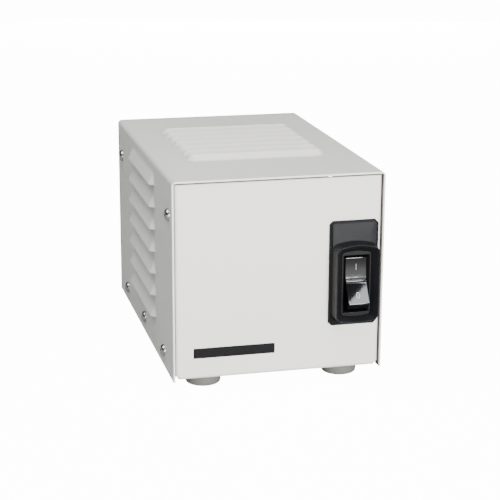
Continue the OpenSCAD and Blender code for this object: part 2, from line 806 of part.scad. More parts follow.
// Places each packet of laminations, every second one upside down
module at_packets() {
  for (i = [0 : packet_count - 1])
    translate([(i + 1 / 2) * packet_t - core_stack / 2, core_mid_y, core_z + (i % 2) * core_h])
      mirror([0, 0, i % 2]) children();
}
module core_bolt_holes() {
  for (p = bolt_places) translate([0, p[0], p[1]]) point_x()
    cylinder(r = bolt_hole_r, h = core_stack + 2 * over, center = true);
}
module e_laminations() {
  color("slategray") difference() {
    at_packets() along_x(packet_t - packet_gap) e_outline();
    core_bolt_holes();
  }
}
module i_laminations() {
  color("lightslategray") difference() {
    at_packets() translate([0, 0, yoke_w + window_h]) along_x(packet_t - packet_gap)
      translate([-core_l / 2, 0]) square([core_l, yoke_w]);
    core_bolt_holes();
  }
}

// A ring about the centre leg: its inside grows by a, its outside by b, from z0 up by h
module coil_ring(a, b, z0, h) {
  translate([0, core_mid_y, z0]) linear_extrude(h) difference() {
    round_rect(2 * (tube_x + b), 2 * (tube_y + b), coil_corner + b);
    round_rect(2 * (tube_x + a), 2 * (tube_y + a), coil_corner + a);
  }
}
module coil_bobbin() {
  color("linen") {
    coil_ring(-bobbin_t, 0, bobbin_z, bobbin_h);
    for (z = [bobbin_z, bobbin_z + bobbin_h - bobbin_t]) coil_ring(-bobbin_t, flange_out, z, bobbin_t);
  }
}
module primary_winding() {
  color("peru") coil_ring(0, primary_t, winding_z, winding_h);
}
module winding_screen() {
  color("orange") coil_ring(primary_t, primary_t + screen_t, winding_z, winding_h);
}
module secondary_winding() {
  a = primary_t + screen_t;
  color("chocolate") coil_ring(a, a + secondary_t, winding_z, winding_h);
}
module coil_wrap() {
  a = primary_t + screen_t + secondary_t;
  color("khaki") coil_ring(a, a + wrap_t, winding_z, winding_h);
}

// A mounting angle: one leg against the core, the other on the base
module mounting_angle(side) {
  x0 = core_stack / 2;
  color("silver") difference() {
    scale([side, 1, 1]) translate([0, core_mid_y + angle_l / 2, floor_z])
      point_front() linear_extrude(angle_l)
      polygon([
        [x0, 0], [x0 + angle_foot_w, 0], [x0 + angle_foot_w, angle_t], [x0 + angle_t, angle_t],
        [x0 + angle_t, angle_h], [x0, angle_h]
      ]);
    for (p = bolt_places) translate([side * x0, p[0], p[1]]) point_x()
      cylinder(r = bolt_hole_r, h = 4 * angle_t, center = true);
    for (p = mount_places)
      translate([p[0], p[1], floor_z - over]) cylinder(r = mount_screw_r + slip, h = angle_t + 2 * over);
  }
}

module core_bolts() {
  grip = core_stack + 2 * angle_t;
  color("silver") for (p = bolt_places) translate([-grip / 2, p[0], p[1]]) point_x() {
    translate([0, 0, -bolt_head_h]) cylinder(r = bolt_head_af / sqrt(3), h = bolt_head_h, $fn = 6);
    cylinder(r = core_bolt_r, h = grip + bolt_nut_h + bolt_tail);
  }
}
module core_washers() {
  color("saddlebrown") for (s = [0, 1], p = bolt_places) if (p[1] > core_z + core_h / 2)
    mirror([s, 0, 0]) translate([core_stack / 2, p[0], p[1]]) point_x() difference() {
      cylinder(r = washer_r, h = angle_t);
      translate([0, 0, -over]) cylinder(r = bolt_hole_r, h = angle_t + 2 * over);
    }
}
module core_nuts() {
  color("silver") for (p = bolt_places)
    translate([core_stack / 2 + angle_t, p[0], p[1]]) point_x()
      hex_nut(bolt_head_af, bolt_nut_h, core_bolt_r + fit_gap);
}
module mounting_screws() {
  color("silver") for (p = mount_places)
    translate([p[0], p[1], foot_h]) mirror([0, 0, 1])
      pan_screw(mount_head_r, mount_head_h, mount_screw_r, sheet_t + angle_t + mount_nut_h + screw_tail);
}
module mounting_nuts() {
  color("silver") for (p = mount_places)
    translate([p[0], p[1], floor_z + angle_t]) hex_nut(mount_nut_af, mount_nut_h, mount_screw_r + fit_gap);
}

// Outline of the inlet's body or recess: a rectangle with its two upper corners cut
function inlet_outline(w, h, c) = [
  [w / 2, -h / 2], [w / 2, h / 2 - c], [w / 2 - c, h / 2],
  [-w / 2 + c, h / 2], [-w / 2, h / 2 - c], [-w / 2, -h / 2]
];
module at_inlet() {
  translate([inlet_x, 0, inlet_z]) children();
}
module inlet_body() {
  w = inlet_body_w - 2 * inlet_wall_t;
  h = inlet_body_h - 2 * inlet_wall_t;
  head_h = inlet_head_r - inlet_screw_r;
  color("darkslategray") at_inlet() difference() {
    union() {
      upright(back_y, inlet_flange_t) round_rect(inlet_flange_w, inlet_flange_h, inlet_corner);
      upright(inlet_rear_y, back_y - inlet_rear_y)
        polygon(inlet_outline(inlet_body_w, inlet_body_h, inlet_body_cut));
    }
    upright(inlet_floor_y, inlet_recess_d + over)
      polygon(inlet_outline(w, h, inlet_body_cut - inlet_wall_t / 2));
    for (s = [-1, 1]) translate([s * inlet_screw_pitch / 2, inlet_face_y, 0]) point_front() {
      cylinder(r = inlet_screw_r + slip, h = inlet_flange_t + over);
      translate([0, 0, -over]) cylinder(r = inlet_head_r + slip, h = over);
      cylinder(r1 = inlet_head_r + slip, r2 = inlet_screw_r + slip, h = head_h);
    }
    for (p = pin_places) translate([p[0], 0, p[1]]) upright(inlet_rear_y - over, inlet_floor_t + 2 * over)
      square([pin_w + 2 * fit_gap, pin_h + 2 * fit_gap], center = true);
  }
}
module inlet_pins() {
  color("silver") at_inlet() for (p = pin_places) translate([p[0], 0, p[1]]) {
    upright(inlet_rear_y - slip, slip + inlet_floor_t + pin_l) square([pin_w, pin_h], center = true);
    upright(inlet_rear_y - tab_l, tab_l) square([tab_t, tab_w], center = true);
  }
}
module inlet_screws() {
  head_h = inlet_head_r - inlet_screw_r;
  shank_l = inlet_flange_t + sheet_t + inlet_nut_h + screw_tail;
  color("silver") at_inlet() for (s = [-1, 1])
    translate([s * inlet_screw_pitch / 2, inlet_face_y, 0]) point_front() difference() {
      union() {
        cylinder(r = inlet_screw_r, h = shank_l);
        cylinder(r1 = inlet_head_r, r2 = inlet_screw_r, h = head_h);
      }
      for (a = [0, 90]) rotate([0, 0, a])
        cube([2 * inlet_head_r * cross_share, cross_w, cross_depth], center = true);
    }
}
module inlet_nuts() {
  color("silver") at_inlet() for (s = [-1, 1])
    translate([s * inlet_screw_pitch / 2, back_in_y, 0]) point_front()
      hex_nut(inlet_nut_af, inlet_nut_h, inlet_screw_r + fit_gap);
}

// Outline of one outlet face, grown by g: a circle cut flat above and below
module outlet_outline(g) {
  intersection() {
    circle(outlet_face_r + g, $fn = louvre_fn);
    square([2 * outlet_face_r + 4 * g, outlet_face_h + 2 * g], center = true);
  }
}
module at_outlet() {
  translate([outlet_x, 0, outlet_z]) children();
}

// The slots of both faces, cut from the face plane back by slot_d
module outlet_slots() {
  for (s = [-1, 1]) translate([0, 0, s * outlet_pitch / 2]) {
    translate([-slot_side, 0, slot_up]) upright(slot_end_y, slot_d + over)
      square([slot_w, line_slot_h], center = true);
    translate([slot_side, 0, slot_up]) upright(slot_end_y, slot_d + over)
      square([slot_w, neutral_slot_h], center = true);
    translate([0, slot_end_y, -earth_hole_down]) point_back() cylinder(r = earth_hole_r, h = slot_d + over);
  }
}
module outlet_face() {
  color("dimgray") at_outlet() difference() {
    union() {
      upright(back_in_y - outlet_cap_t, outlet_cap_t) round_rect(outlet_w, outlet_len, outlet_corner);
      for (s = [-1, 1]) translate([0, 0, s * outlet_pitch / 2])
        upright(back_in_y - outlet_cap_t, outlet_cap_t + sheet_t + outlet_proud) outlet_outline(0);
    }
    outlet_slots();
  }
}

// Section of a contact bar in X and Y: a leg behind the slots and a leg along the body's side
module contact_bar_section() {
  side = outlet_w / 2;
  translate([-side - bar_t, slot_end_y - bar_t]) square([side + bar_t - slot_side + bar_in, bar_t]);
  translate([-side - bar_t, slot_end_y - bar_t]) square([bar_t, bar_flange_d]);
}
module outlet_base() {
  pocket_h = bar_l + 2 * slip;
  pocket_d = slot_end_y - outlet_back_y + over;
  color("dimgray") at_outlet() difference() {
    upright(outlet_back_y, outlet_base_d) round_rect(outlet_w, outlet_len, outlet_corner);
    outlet_slots();
    // Pockets for the contact bars, open to the back so that the bars can drop in
    for (s = [0, 1]) mirror([s, 0, 0]) {
      translate([-outlet_w / 2 - over, outlet_back_y - over, -pocket_h / 2])
        cube([outlet_w / 2 + over - slot_side + bar_in + slip, pocket_d, pocket_h]);
      for (z = [-side_screw_z, side_screw_z])
        translate([-outlet_w / 2 - over, out_side_y, z]) point_x()
          cylinder(r = side_screw_r + fit_gap, h = side_screw_l + over);
    }
    translate([-earth_bar_w / 2 - slip / 2, outlet_back_y - over, -pocket_h / 2])
      cube([earth_bar_w + slip, pocket_d, pocket_h]);
  }
}
module outlet_contacts() {
  color("goldenrod") at_outlet() {
    for (s = [0, 1]) mirror([s, 0, 0]) difference() {
      translate([0, 0, -bar_l / 2]) linear_extrude(bar_l) contact_bar_section();
      for (z = [-side_screw_z, side_screw_z])
        translate([-outlet_w / 2 - 2 * bar_t, out_side_y, z]) point_x()
          cylinder(r = side_screw_r + fit_gap, h = 4 * bar_t);
    }
  }
}
module outlet_earth_contact() {
  color("goldenrod") at_outlet() translate([-earth_bar_w / 2, outlet_back_y, -bar_l / 2])
    cube([earth_bar_w, slot_end_y - outlet_back_y, bar_l]);
}
module outlet_strap() {
  wrap_z = outlet_len / 2;
  deep = outlet_cap_t + outlet_base_d;
  color("silver") at_outlet() difference() {
    union() {
      upright(back_in_y - strap_t, strap_t) difference() {
        round_rect(ear_plate_w, strap_l, ear_plate_corner);
        square([ear_plate_w + over, outlet_len], center = true);
      }
      for (s = [0, 1]) mirror([0, 0, s])
        translate([-strap_w / 2, back_in_y - deep - strap_t, wrap_z])
          cube([strap_w, deep + strap_t, strap_t]);
      translate([-strap_w / 2, back_in_y - deep - strap_t, -wrap_z]) cube([strap_w, strap_t, 2 * wrap_z]);
    }
    for (s = [-1, 1]) translate([0, back_in_y - strap_t - over, s * strap_screw_pitch / 2]) point_back()
      cylinder(r = strap_screw_r + fit_gap, h = strap_t + 2 * over);
  }
}
module outlet_screws() {
  color("silver") at_outlet() for (s = [-1, 1])
    translate([0, back_y, s * strap_screw_pitch / 2]) point_back()
      pan_screw(strap_head_r, strap_head_h, strap_screw_r, sheet_t + strap_t + screw_tail);
}
module outlet_terminal_screws() {
  color("gold") at_outlet() for (s = [0, 1], z = [-side_screw_z, side_screw_z]) mirror([s, 0, 0])
    translate([-outlet_w / 2 - bar_t, out_side_y, z]) rotate([0, -90, 0])
      pan_screw(side_head_r, side_head_h, side_screw_r, side_screw_l);
}

// Earth stud with a nut, and the two ring terminals that it clamps
module at_stud() {
  translate([earth_stud_x, earth_stud_y, floor_z]) children();
}
module earth_stud() {
  color("silver") at_stud() {
    cylinder(r = stud_foot_r, h = stud_foot_h);
    cylinder(r = stud_r, h = stud_h);
  }
}
module earth_rings() {
  color("gold") at_stud() for (i = [0, 1])
    translate([0, 0, stud_foot_h + i * (ring_t + fit_gap)]) rotate([0, 0, (1 - i) * 90])
    difference() {
      union() {
        cylinder(r = ring_r, h = ring_t);
        translate([-ring_barrel_r, ring_r - ring_t, 0]) cube([2 * ring_barrel_r, 2 * ring_t, ring_t]);
        translate([0, ring_r + ring_t / 2, ring_barrel_r]) point_back()
          cylinder(r = ring_barrel_r, h = ring_barrel_l);
      }
      translate([0, 0, -over]) cylinder(r = stud_r + fit_gap, h = ring_t + 2 * over);
    }
}
module earth_nut() {
  color("silver") at_stud() translate([0, 0, stud_foot_h + 2 * ring_t + fit_gap])
    hex_nut(earth_nut_af, earth_nut_h, stud_r + fit_gap);
}

// Push-on connectors: places of the blades' ends, and the direction from the blade to the lead
switch_tab_y = frame_y + switch_depth;
inlet_tab_y = inlet_rear_y;
switch_tabs = [for (s = [-1, 1]) [switch_x, switch_tab_y, pivot_z + s * terminal_z]];
inlet_tabs = [for (p = pin_places) [inlet_x + p[0], inlet_tab_y, inlet_z + p[1]]];
module sleeve(w, h) {
  wall = sleeve_t - tab_t - slip;
  difference() {
    upright(drop_gap, sleeve_l) square([w, h], center = true);
    upright(0, sleeve_bite + drop_gap) square([w - wall, h - wall], center = true);
  }
}
module push_on_connectors() {
  color("lightsteelblue") {
    for (p = switch_tabs) translate(p) sleeve(sleeve_w + tab_t, sleeve_t);
    for (p = inlet_tabs) translate(p) mirror([0, 1, 0]) sleeve(sleeve_t, sleeve_w + tab_t);
  }
}

// A route is smoothed by an arc in each corner, from the middle of one leg to the middle of the next
function leg_point(r, i) =
  i == 0 ? r[0] : (i == len(r) - 2 ? r[len(r) - 1] : (r[i] + r[i + 1]) / 2);
function smooth(r) = concat(
  [r[0]],
  [for (i = [1 : len(r) - 2]) let (a = leg_point(r, i - 1), b = r[i], c = leg_point(r, i))
    for (k = [1 : lead_steps]) let (t = k / lead_steps, u = 1 - t) u * u * a + 2 * t * u * b + t * t * c]
);
function unit(v) = v / norm(v);

// Directions along the smoothed points p of route r; its two ends are square to their own legs
function tangents(p, r) = concat(
  [unit(r[1] - r[0])],
  [for (i = [1 : len(p) - 2]) unit(p[i + 1] - p[i - 1])],
  [unit(r[len(r) - 1] - r[len(r) - 2])]
);

// Carries one sideways direction along the route without twisting it
function carry(t, n, i) =
  i >= len(t) ? [] : let (m = unit(n - (n * t[i]) * t[i])) concat([m], carry(t, m, i + 1));
module lead(route, side) {
  p = smooth(route);
  t = tangents(p, route);
  n = carry(t, side, 0);
  s = lead_sides;
  points = [
    for (i = [0 : len(p) - 1]) let (b = cross(t[i], n[i]))
      for (k = [0 : s - 1]) let (a = 360 * k / s) p[i] + lead_r * (cos(a) * n[i] + sin(a) * b)
  ];
  walls = [
    for (i = [0 : len(p) - 2], k = [0 : s - 1]) let (a = i * s + k, b = i * s + (k + 1) % s)
      each [[a, a + s, b], [b, a + s, b + s]]
  ];
  last = (len(p) - 1) * s;
  ends = [[for (k = [0 : s - 1]) k], [for (k = [s - 1 : -1 : 0]) last + k]];
  polyhedron(points = points, faces = concat(walls, ends));
}

// Where the leads end: behind a connector, on the bobbin's upper flange, at a ring or at a screw
switch_end = [0, sleeve_l + drop_gap + strip_gap, 0];
bobbin_top = bobbin_z + bobbin_h + strip_gap;
lead_out_x = tube_x + primary_t;
lead_out_y = 18;
out_head = outlet_w / 2 + bar_t + side_head_h + strip_gap;
ring_tip = ring_r + ring_t / 2 + ring_barrel_l + strip_gap;
ring_z = floor_z + stud_foot_h + ring_barrel_r;
upper_ring_z = ring_z + ring_t + fit_gap;
strap_under_z = outlet_z - outlet_len / 2 - strap_t - strip_gap;

live_route = [
  inlet_tabs[1] - switch_end, [41, 58, 32.5], [52, 52, 30], [54, 20, 28], [54, -20, 34], [45, -42, 52.5],
  switch_tabs[0] + switch_end
];
neutral_route = [
  inlet_tabs[0] - switch_end, [27, 60, 32.5], [29, 52, 60], [40, 48, 92], [40, 18, 100],
  [lead_out_x, core_mid_y + lead_out_y, 98], [lead_out_x, core_mid_y + lead_out_y, bobbin_top]
];
switched_route = [
  switch_tabs[1] + switch_end, [45, -44, 70.5], [46, -46, 92], [40, -38, 100],
  [lead_out_x, core_mid_y - lead_out_y, 96], [lead_out_x, core_mid_y - lead_out_y, bobbin_top]
];
module live_lead() {
  color("black") lead(live_route, [0, 0, 1]);
}
module neutral_lead() {
  color("white") lead(neutral_route, [1, 0, 0]);
}
module switched_lead() {
  color("black") lead(switched_route, [1, 0, 0]);
}
outlet_live_route = [
  [outlet_x - out_head, out_side_y, outlet_z + side_screw_z], [-56, out_side_y, 78], [-54, 66, 84],
  [-48, 36, 98], [-40, 0, 104],
  [-lead_out_x, core_mid_y - lead_out_y, 98], [-lead_out_x, core_mid_y - lead_out_y, bobbin_top]
];
outlet_neutral_route = [
  [outlet_x + out_head, out_side_y, outlet_z + side_screw_z], [-6, out_side_y, 78], [-4, 64, 92],
  [-20, 48, 106], [-36, 28, 106],
  [-lead_out_x, core_mid_y + lead_out_y, 98], [-lead_out_x, core_mid_y + lead_out_y, bobbin_top]
];
module outlet_live_lead() {
  color("black") lead(outlet_live_route, [0, 0, 1]);
}
module outlet_neutral_lead() {
  color("white") lead(outlet_neutral_route, [0, 0, 1]);
}
inlet_earth_route = [
  inlet_tabs[2] - switch_end, [34, 60, 36.5], [24, 60, 14], [26, earth_stud_y, ring_z],
  [earth_stud_x - ring_tip, earth_stud_y, ring_z]
];
outlet_earth_route = [
  [earth_stud_x, earth_stud_y + ring_tip, upper_ring_z], [51.5, 95, 12], [30, 95, 12], [-10, 94, 12],
  [outlet_x, 92, 14], [outlet_x, 88, 20], [outlet_x, 88, strap_under_z]
];
module inlet_earth_lead() {
  color("green") lead(inlet_earth_route, [0, 0, 1]);
}
module outlet_earth_lead() {
  color("green") lead(outlet_earth_route, [1, 0, 0]);
}

cover();
chassis();
cover_screws();
foot(foot_places[0]);  // foot_front_left
foot(foot_places[1]);  // foot_front_right
foot(foot_places[2]);  // foot_rear_left
foot(foot_places[3]);  // foot_rear_right
foot_screws();
foot_nuts();
switch_bezel();
switch_housing();
rocker();
switch_terminals();
e_laminations();
i_laminations();
coil_bobbin();
primary_winding();
winding_screen();
secondary_winding();
coil_wrap();
mounting_angle(-1);  // mounting_angle_left
mounting_angle(1);  // mounting_angle_right
core_bolts();
core_washers();
core_nuts();
mounting_screws();
mounting_nuts();
inlet_body();
inlet_pins();
inlet_screws();
inlet_nuts();
outlet_face();
outlet_base();
outlet_strap();
outlet_contacts();
outlet_earth_contact();
outlet_screws();
outlet_terminal_screws();
earth_stud();
earth_nut();
earth_rings();
push_on_connectors();
live_lead();
neutral_lead();
switched_lead();
outlet_live_lead();
outlet_neutral_lead();
inlet_earth_lead();
outlet_earth_lead();
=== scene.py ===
# %% [markdown]
# A bench isolation transformer, dressed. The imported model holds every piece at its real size, in metres, with
# +Z up and the front panel towards -Y. This lesson gives each piece its finish, and makes most of them again
# as finer meshes.

# %% Load the frame
import json
import math

import bmesh
import bpy
from mathutils import Matrix, Vector


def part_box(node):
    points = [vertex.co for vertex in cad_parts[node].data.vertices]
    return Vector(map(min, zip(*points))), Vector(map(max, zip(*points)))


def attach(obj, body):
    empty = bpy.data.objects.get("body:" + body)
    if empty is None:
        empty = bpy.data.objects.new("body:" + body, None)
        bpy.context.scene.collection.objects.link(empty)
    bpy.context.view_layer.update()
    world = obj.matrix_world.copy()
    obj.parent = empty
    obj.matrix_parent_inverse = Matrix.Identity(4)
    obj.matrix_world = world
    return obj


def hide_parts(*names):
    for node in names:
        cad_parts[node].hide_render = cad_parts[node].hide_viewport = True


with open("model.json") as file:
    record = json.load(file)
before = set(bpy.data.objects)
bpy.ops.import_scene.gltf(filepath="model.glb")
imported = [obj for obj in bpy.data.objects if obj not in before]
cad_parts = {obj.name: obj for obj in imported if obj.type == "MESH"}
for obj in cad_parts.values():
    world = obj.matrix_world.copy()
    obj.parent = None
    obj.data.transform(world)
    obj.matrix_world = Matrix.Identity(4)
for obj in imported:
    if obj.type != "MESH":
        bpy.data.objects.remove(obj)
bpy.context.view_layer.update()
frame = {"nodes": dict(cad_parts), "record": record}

NODES = frame["nodes"]
mm = 0.001

# %% [markdown]
# Short helpers serve every cell: for new objects, for meshes made of rings and for sizes in millimetres.

# %% Helpers for objects and meshes
def linked(name, data):
    """A new object in the scene."""
    thing = bpy.data.objects.new(name, data)
    bpy.context.scene.collection.objects.link(thing)
    return thing


def mesh_of(work, name):
    """The mesh of a bmesh, which is let go."""
    mesh = bpy.data.meshes.new(name)
    work.to_mesh(mesh)
    work.free()
    return mesh


def applied(thing):
    """The mesh of an object with its modifiers applied."""
    return bpy.data.meshes.new_from_object(thing.evaluated_get(bpy.context.evaluated_depsgraph_get()))


def ring_solid(name, rings, closed=False):
    """A mesh from rings of places that match one to one; its two ends are capped, or joined when closed."""
    work = bmesh.new()
    levels = [[work.verts.new(place) for place in ring] for ring in rings]
    for near, far in zip(levels, levels[1:] + (levels[:1] if closed else [])):
        for i in range(len(near)):
            work.faces.new((near[i - 1], near[i], far[i], far[i - 1]))
    if not closed:
        work.faces.new(levels[0])
        work.faces.new(list(reversed(levels[-1])))
    bmesh.ops.recalc_face_normals(work, faces=work.faces)
    return mesh_of(work, name)


def around(sides):
    """The angles of a full round in equal steps."""
    return [2 * math.pi * i / sides for i in range(sides)]


def in_mm(lengths):
    return [round(length / mm, 2) for length in lengths]


print("helpers ready")

# %% [markdown]
# Node trees get helpers too. A Tree adds a node and hands back a Term, one output of that node. Each sign
# between terms becomes a Math node, so a formula in a cell reads like one. A group is a tree with named inputs
# and outputs of its own.

# %% Helpers for node trees
class Term:
    """One output of a node, to reckon with."""

    def __init__(self, tree, socket):
        self.tree, self.socket = tree, socket

    def other(self, label):
        """Another output of the same node."""
        return Term(self.tree, self.socket.node.outputs[label])

    def __add__(self, value):
        return self.tree.calc("ADD", self, value)

    def __sub__(self, value):
        return self.tree.calc("SUBTRACT", self, value)

    def __rsub__(self, value):
        return self.tree.calc("SUBTRACT", value, self)

    def __mul__(self, value):
        return self.tree.calc("MULTIPLY", self, value)

    def __truediv__(self, value):
        return self.tree.calc("DIVIDE", self, value)

    def __rtruediv__(self, value):
        return self.tree.calc("DIVIDE", value, self)


class Tree:
    """A node tree in the making."""

    def __init__(self, data):
        self.data = data

    def give(self, sockets, values):
        """Sets sockets, by name or number, to plain values, or links terms to them."""
        for label, value in dict(values).items():
            if isinstance(value, Term):
                self.data.links.new(value.socket, sockets[label])
            else:
                sockets[label].default_value = value

    def add(self, kind, inputs=(), out=0, **settings):
        """A new node with its settings and its inputs, by name or number; hands back one of its outputs."""
        node = self.data.nodes.new(kind)
        for name, value in settings.items():
            setattr(node, name, value)
        self.give(node.inputs, inputs)
        return Term(self, node.outputs[out])

    def calc(self, operation, *values):
        """One Math node; values are numbers or terms."""
        return self.add("ShaderNodeMath", enumerate(values), operation=operation)

    def vector(self, *values):
        return self.add("ShaderNodeCombineXYZ", enumerate(values))

    def place(self):
        """The place on the object."""
        return self.add("ShaderNodeTexCoord", out="Object")

    def hand_out(self, result, **values):
        """Ends a group: its outputs get their values."""
        self.give(result, values)
        print(self.data.name, len(self.data.nodes), "nodes")

    def build(self, given, result, geometry):
        """Ends a geometry tree: real geometry with its finish."""
        real = self.add("GeometryNodeRealizeInstances", {"Geometry": geometry})
        self.hand_out(result, Mesh=self.add("GeometryNodeSetMaterial", {"Geometry": real, "Material": given["Finish"]}))


FLOAT, VECTOR, COLOR = "NodeSocketFloat", "NodeSocketVector", "NodeSocketColor"
GEOMETRY, OBJECT, MATERIAL = "NodeSocketGeometry", "NodeSocketObject", "NodeSocketMaterial"
TYPES = {float: FLOAT, int: "NodeSocketInt", tuple: COLOR}


def group(name, inputs, outputs=None):
    """A group whose inputs have a start value or only a type; without outputs it makes a shape."""
    tree = Tree(bpy.data.node_groups.new(name, "ShaderNodeTree" if outputs else "GeometryNodeTree"))
    for label, value in inputs.items():
        known = TYPES.get(type(value))
        socket = tree.data.interface.new_socket(label, in_out="INPUT", socket_type=known or value)
        if known:
            socket.default_value = value
    for label, socket_type in (outputs or {"Mesh": GEOMETRY}).items():
        tree.data.interface.new_socket(label, in_out="OUTPUT", socket_type=socket_type)
    given, result = (tree.data.nodes.new(kind) for kind in ("NodeGroupInput", "NodeGroupOutput"))
    return tree, {socket.name: Term(tree, socket) for socket in given.outputs if socket.name}, result.inputs


def material_tree(name):
    """A new material, its node tree and the inputs of its Principled shader."""
    material = bpy.data.materials.new(name)
    material.use_nodes = True
    return material, Tree(material.node_tree), material.node_tree.nodes["Principled BSDF"].inputs


print("tree helpers ready")

# %% [markdown]
# The camera stands where the photograph was taken, off to the left and a little above, with a long lens, so the
# upright edges hardly lean together. It looks along its own -Z, so it is tipped up from straight down, turned to
# its heading, and given the small roll that the photograph has.

# %% Camera
camera_place = Vector((-213.6, -885.4, 314.3)) * mm
camera_heading, camera_down, camera_roll = (math.radians(angle) for angle in (-13.85, 15.70, 0.25))

camera_data = bpy.data.cameras.new("camera")
camera_data.sensor_width = 36
camera_data.lens = 106.04
camera_data.clip_start = 10 * mm
camera = linked("camera", camera_data)
camera.matrix_world = (
    Matrix.Translation(camera_place)
    @ Matrix.Rotation(camera_heading, 4, "Z")
    @ Matrix.Rotation(math.pi / 2 - camera_down, 4, "X")
    @ Matrix.Rotation(camera_roll, 4, "Z")
)
bpy.context.scene.camera = camera
print("camera", in_mm(camera.location))

# %% [markdown]
# The object was photographed on a bright white table, which throws only gentle light back on the painted sides.
# So the floor glows for camera and mirror rays and not for diffuse ones, which a Light Path node tells apart. In
# the mirror rays it grows from dark near the case to bright further out, which shades the upper half of the
# rocker from dark at its top to light at its crease.

# %% Floor and sky
floor_half, camera_glow, sky_strength = 4.0, 14.0, 0.13
dark_to_bright = {"From Min": -0.24, "From Max": -0.5, "To Min": 0.05, "To Max": 2.3}
white, floor_grey = (1, 1, 1, 1), (0.3, 0.3, 0.3, 1)

floor_mesh = bpy.data.meshes.new("floor")
floor_corners = [(x * floor_half, y * floor_half, 0) for x, y in ((-1, -1), (1, -1), (1, 1), (-1, 1))]
floor_mesh.from_pydata(floor_corners, [], [range(4)])
floor = linked("floor", floor_mesh)
floor_material, tree, shader = material_tree("lit_table")
further_out = tree.add("ShaderNodeSeparateXYZ", {0: tree.place()}, out="Y")
mirrored = tree.add("ShaderNodeMapRange", {"Value": further_out, **dark_to_bright}, interpolation_type="SMOOTHSTEP")
rays = tree.add("ShaderNodeLightPath", out="Is Camera Ray")
glow = rays * camera_glow + rays.other("Is Glossy Ray") * mirrored
tree.give(shader, {"Base Color": floor_grey, "Roughness": 1, "Specular IOR Level": 0, "Emission Color": white,
                   "Emission Strength": glow})
floor.data.materials.append(floor_material)

world = bpy.data.worlds.new("studio")
world.use_nodes = True
bpy.context.scene.world = world
sky = {"Color": white, "Strength": sky_strength}
Tree(world.node_tree).give(world.node_tree.nodes["Background"].inputs, sky)
print("floor and sky ready")

# %% [markdown]
# Six soft boxes light it. The low one in front makes the front panel the brightest face, and a small one nearby
# lifts the front of the top. The one high on the left lights the top and rakes down the left side, so the
# louvres stand out from the sheet, and a faint low one softens the shade under their lips. One behind keeps the
# rear readable without a glare on the top. The one high on the right lights no paint: it stands at the mirror
# angle of the rocker's lower half and fills that half with its image. The lamps on the sides are a little cooler.

# %% Soft boxes
middle, switch_point = (0, 0, 65 * mm), (45 * mm, -92 * mm, 62 * mm)
cool = (0.93, 0.965, 1.0)


def soft_box(name, elevation, azimuth, distance, size, watts, aim=middle, tint=(1, 1, 1), paint=True, gloss=True):
    """A square lamp aimed at a point; angles in degrees from the ground and from -Y towards +X."""
    data = bpy.data.lights.new(name, "AREA")
    data.size, data.color, data.energy = size, tint, watts
    lamp = linked(name, data)
    up, turn = math.radians(elevation), math.radians(azimuth)
    toward = Vector((math.sin(turn) * math.cos(up), -math.cos(turn) * math.cos(up), math.sin(up)))
    lamp.location = Vector(aim) + toward * distance
    lamp.rotation_euler = toward.to_track_quat("Z", "Y").to_euler()
    lamp.visible_camera, lamp.visible_diffuse, lamp.visible_glossy = False, paint, gloss


soft_box("high_right", 46, 44, 1.3, 0.6, 17, switch_point, tint=cool, paint=False)
soft_box("low_front", 8, 8, 1.7, 0.8, 82)
soft_box("high_front", 42, 4, 0.55, 0.3, 1.0, gloss=False)
soft_box("high_left", 66, -66, 0.8, 0.6, 8.0, tint=cool)
soft_box("low_left", 2, -68, 0.6, 0.35, 0.4, tint=cool, gloss=False)
soft_box("low_rear", 6, 165, 1.7, 0.8, 26, gloss=False)

# %% [markdown]
# Every finish is procedural: it is worked out from the place on the object. Effects that finishes share are kept
# as node groups. Powder paint and moulded plastic both have a texture like very fine sand, so a noise at the
# size of one grain drives a bump. The same group hands out a roughness that a broader noise makes uneven.

# %% Group: fine grain
broad_scale = 45
grain, given, result = group(
    "fine_grain", {"Grain size": 0.4 * mm, "Depth": 0.02 * mm, "Roughness": 0.5, "Unevenness": 0.1},
    {"Normal": VECTOR, "Roughness": FLOAT},
)
place = grain.place()
fine = grain.add("ShaderNodeTexNoise", {"Vector": place, "Scale": 1.0 / given["Grain size"], "Detail": 2}, out="Fac")
broad = grain.add("ShaderNodeTexNoise", {"Vector": place, "Scale": broad_scale, "Detail": 4}, out="Fac")
grain.hand_out(
    result,
    Normal=grain.add("ShaderNodeBump", {"Height": fine, "Distance": given["Depth"]}),
    Roughness=given["Roughness"] + (broad - 0.5) * given["Unevenness"],
)

# %% [markdown]
# No real surface has one exact colour. This group shifts a colour a little lighter and darker, in soft patches.

# %% Group: mottled colour
mottle, given, result = group(
    "mottled_colour", {"Colour": (0.5, 0.5, 0.5, 1), "Amount": 0.06, "Patch size": 20 * mm}, {"Colour": COLOR})
patches = {"Vector": mottle.place(), "Scale": 1.0 / given["Patch size"], "Detail": 5}
shift = (mottle.add("ShaderNodeTexNoise", patches, out="Fac") - 0.5) * given["Amount"]
mottle.hand_out(result, Colour=mottle.add(
    "ShaderNodeHueSaturation", {"Color": given["Colour"], "Value": shift * 2.0 + 1.0}))
# %% [markdown]
# Each finish is one Principled shader fed by these groups, and it is named after its slot in the record.

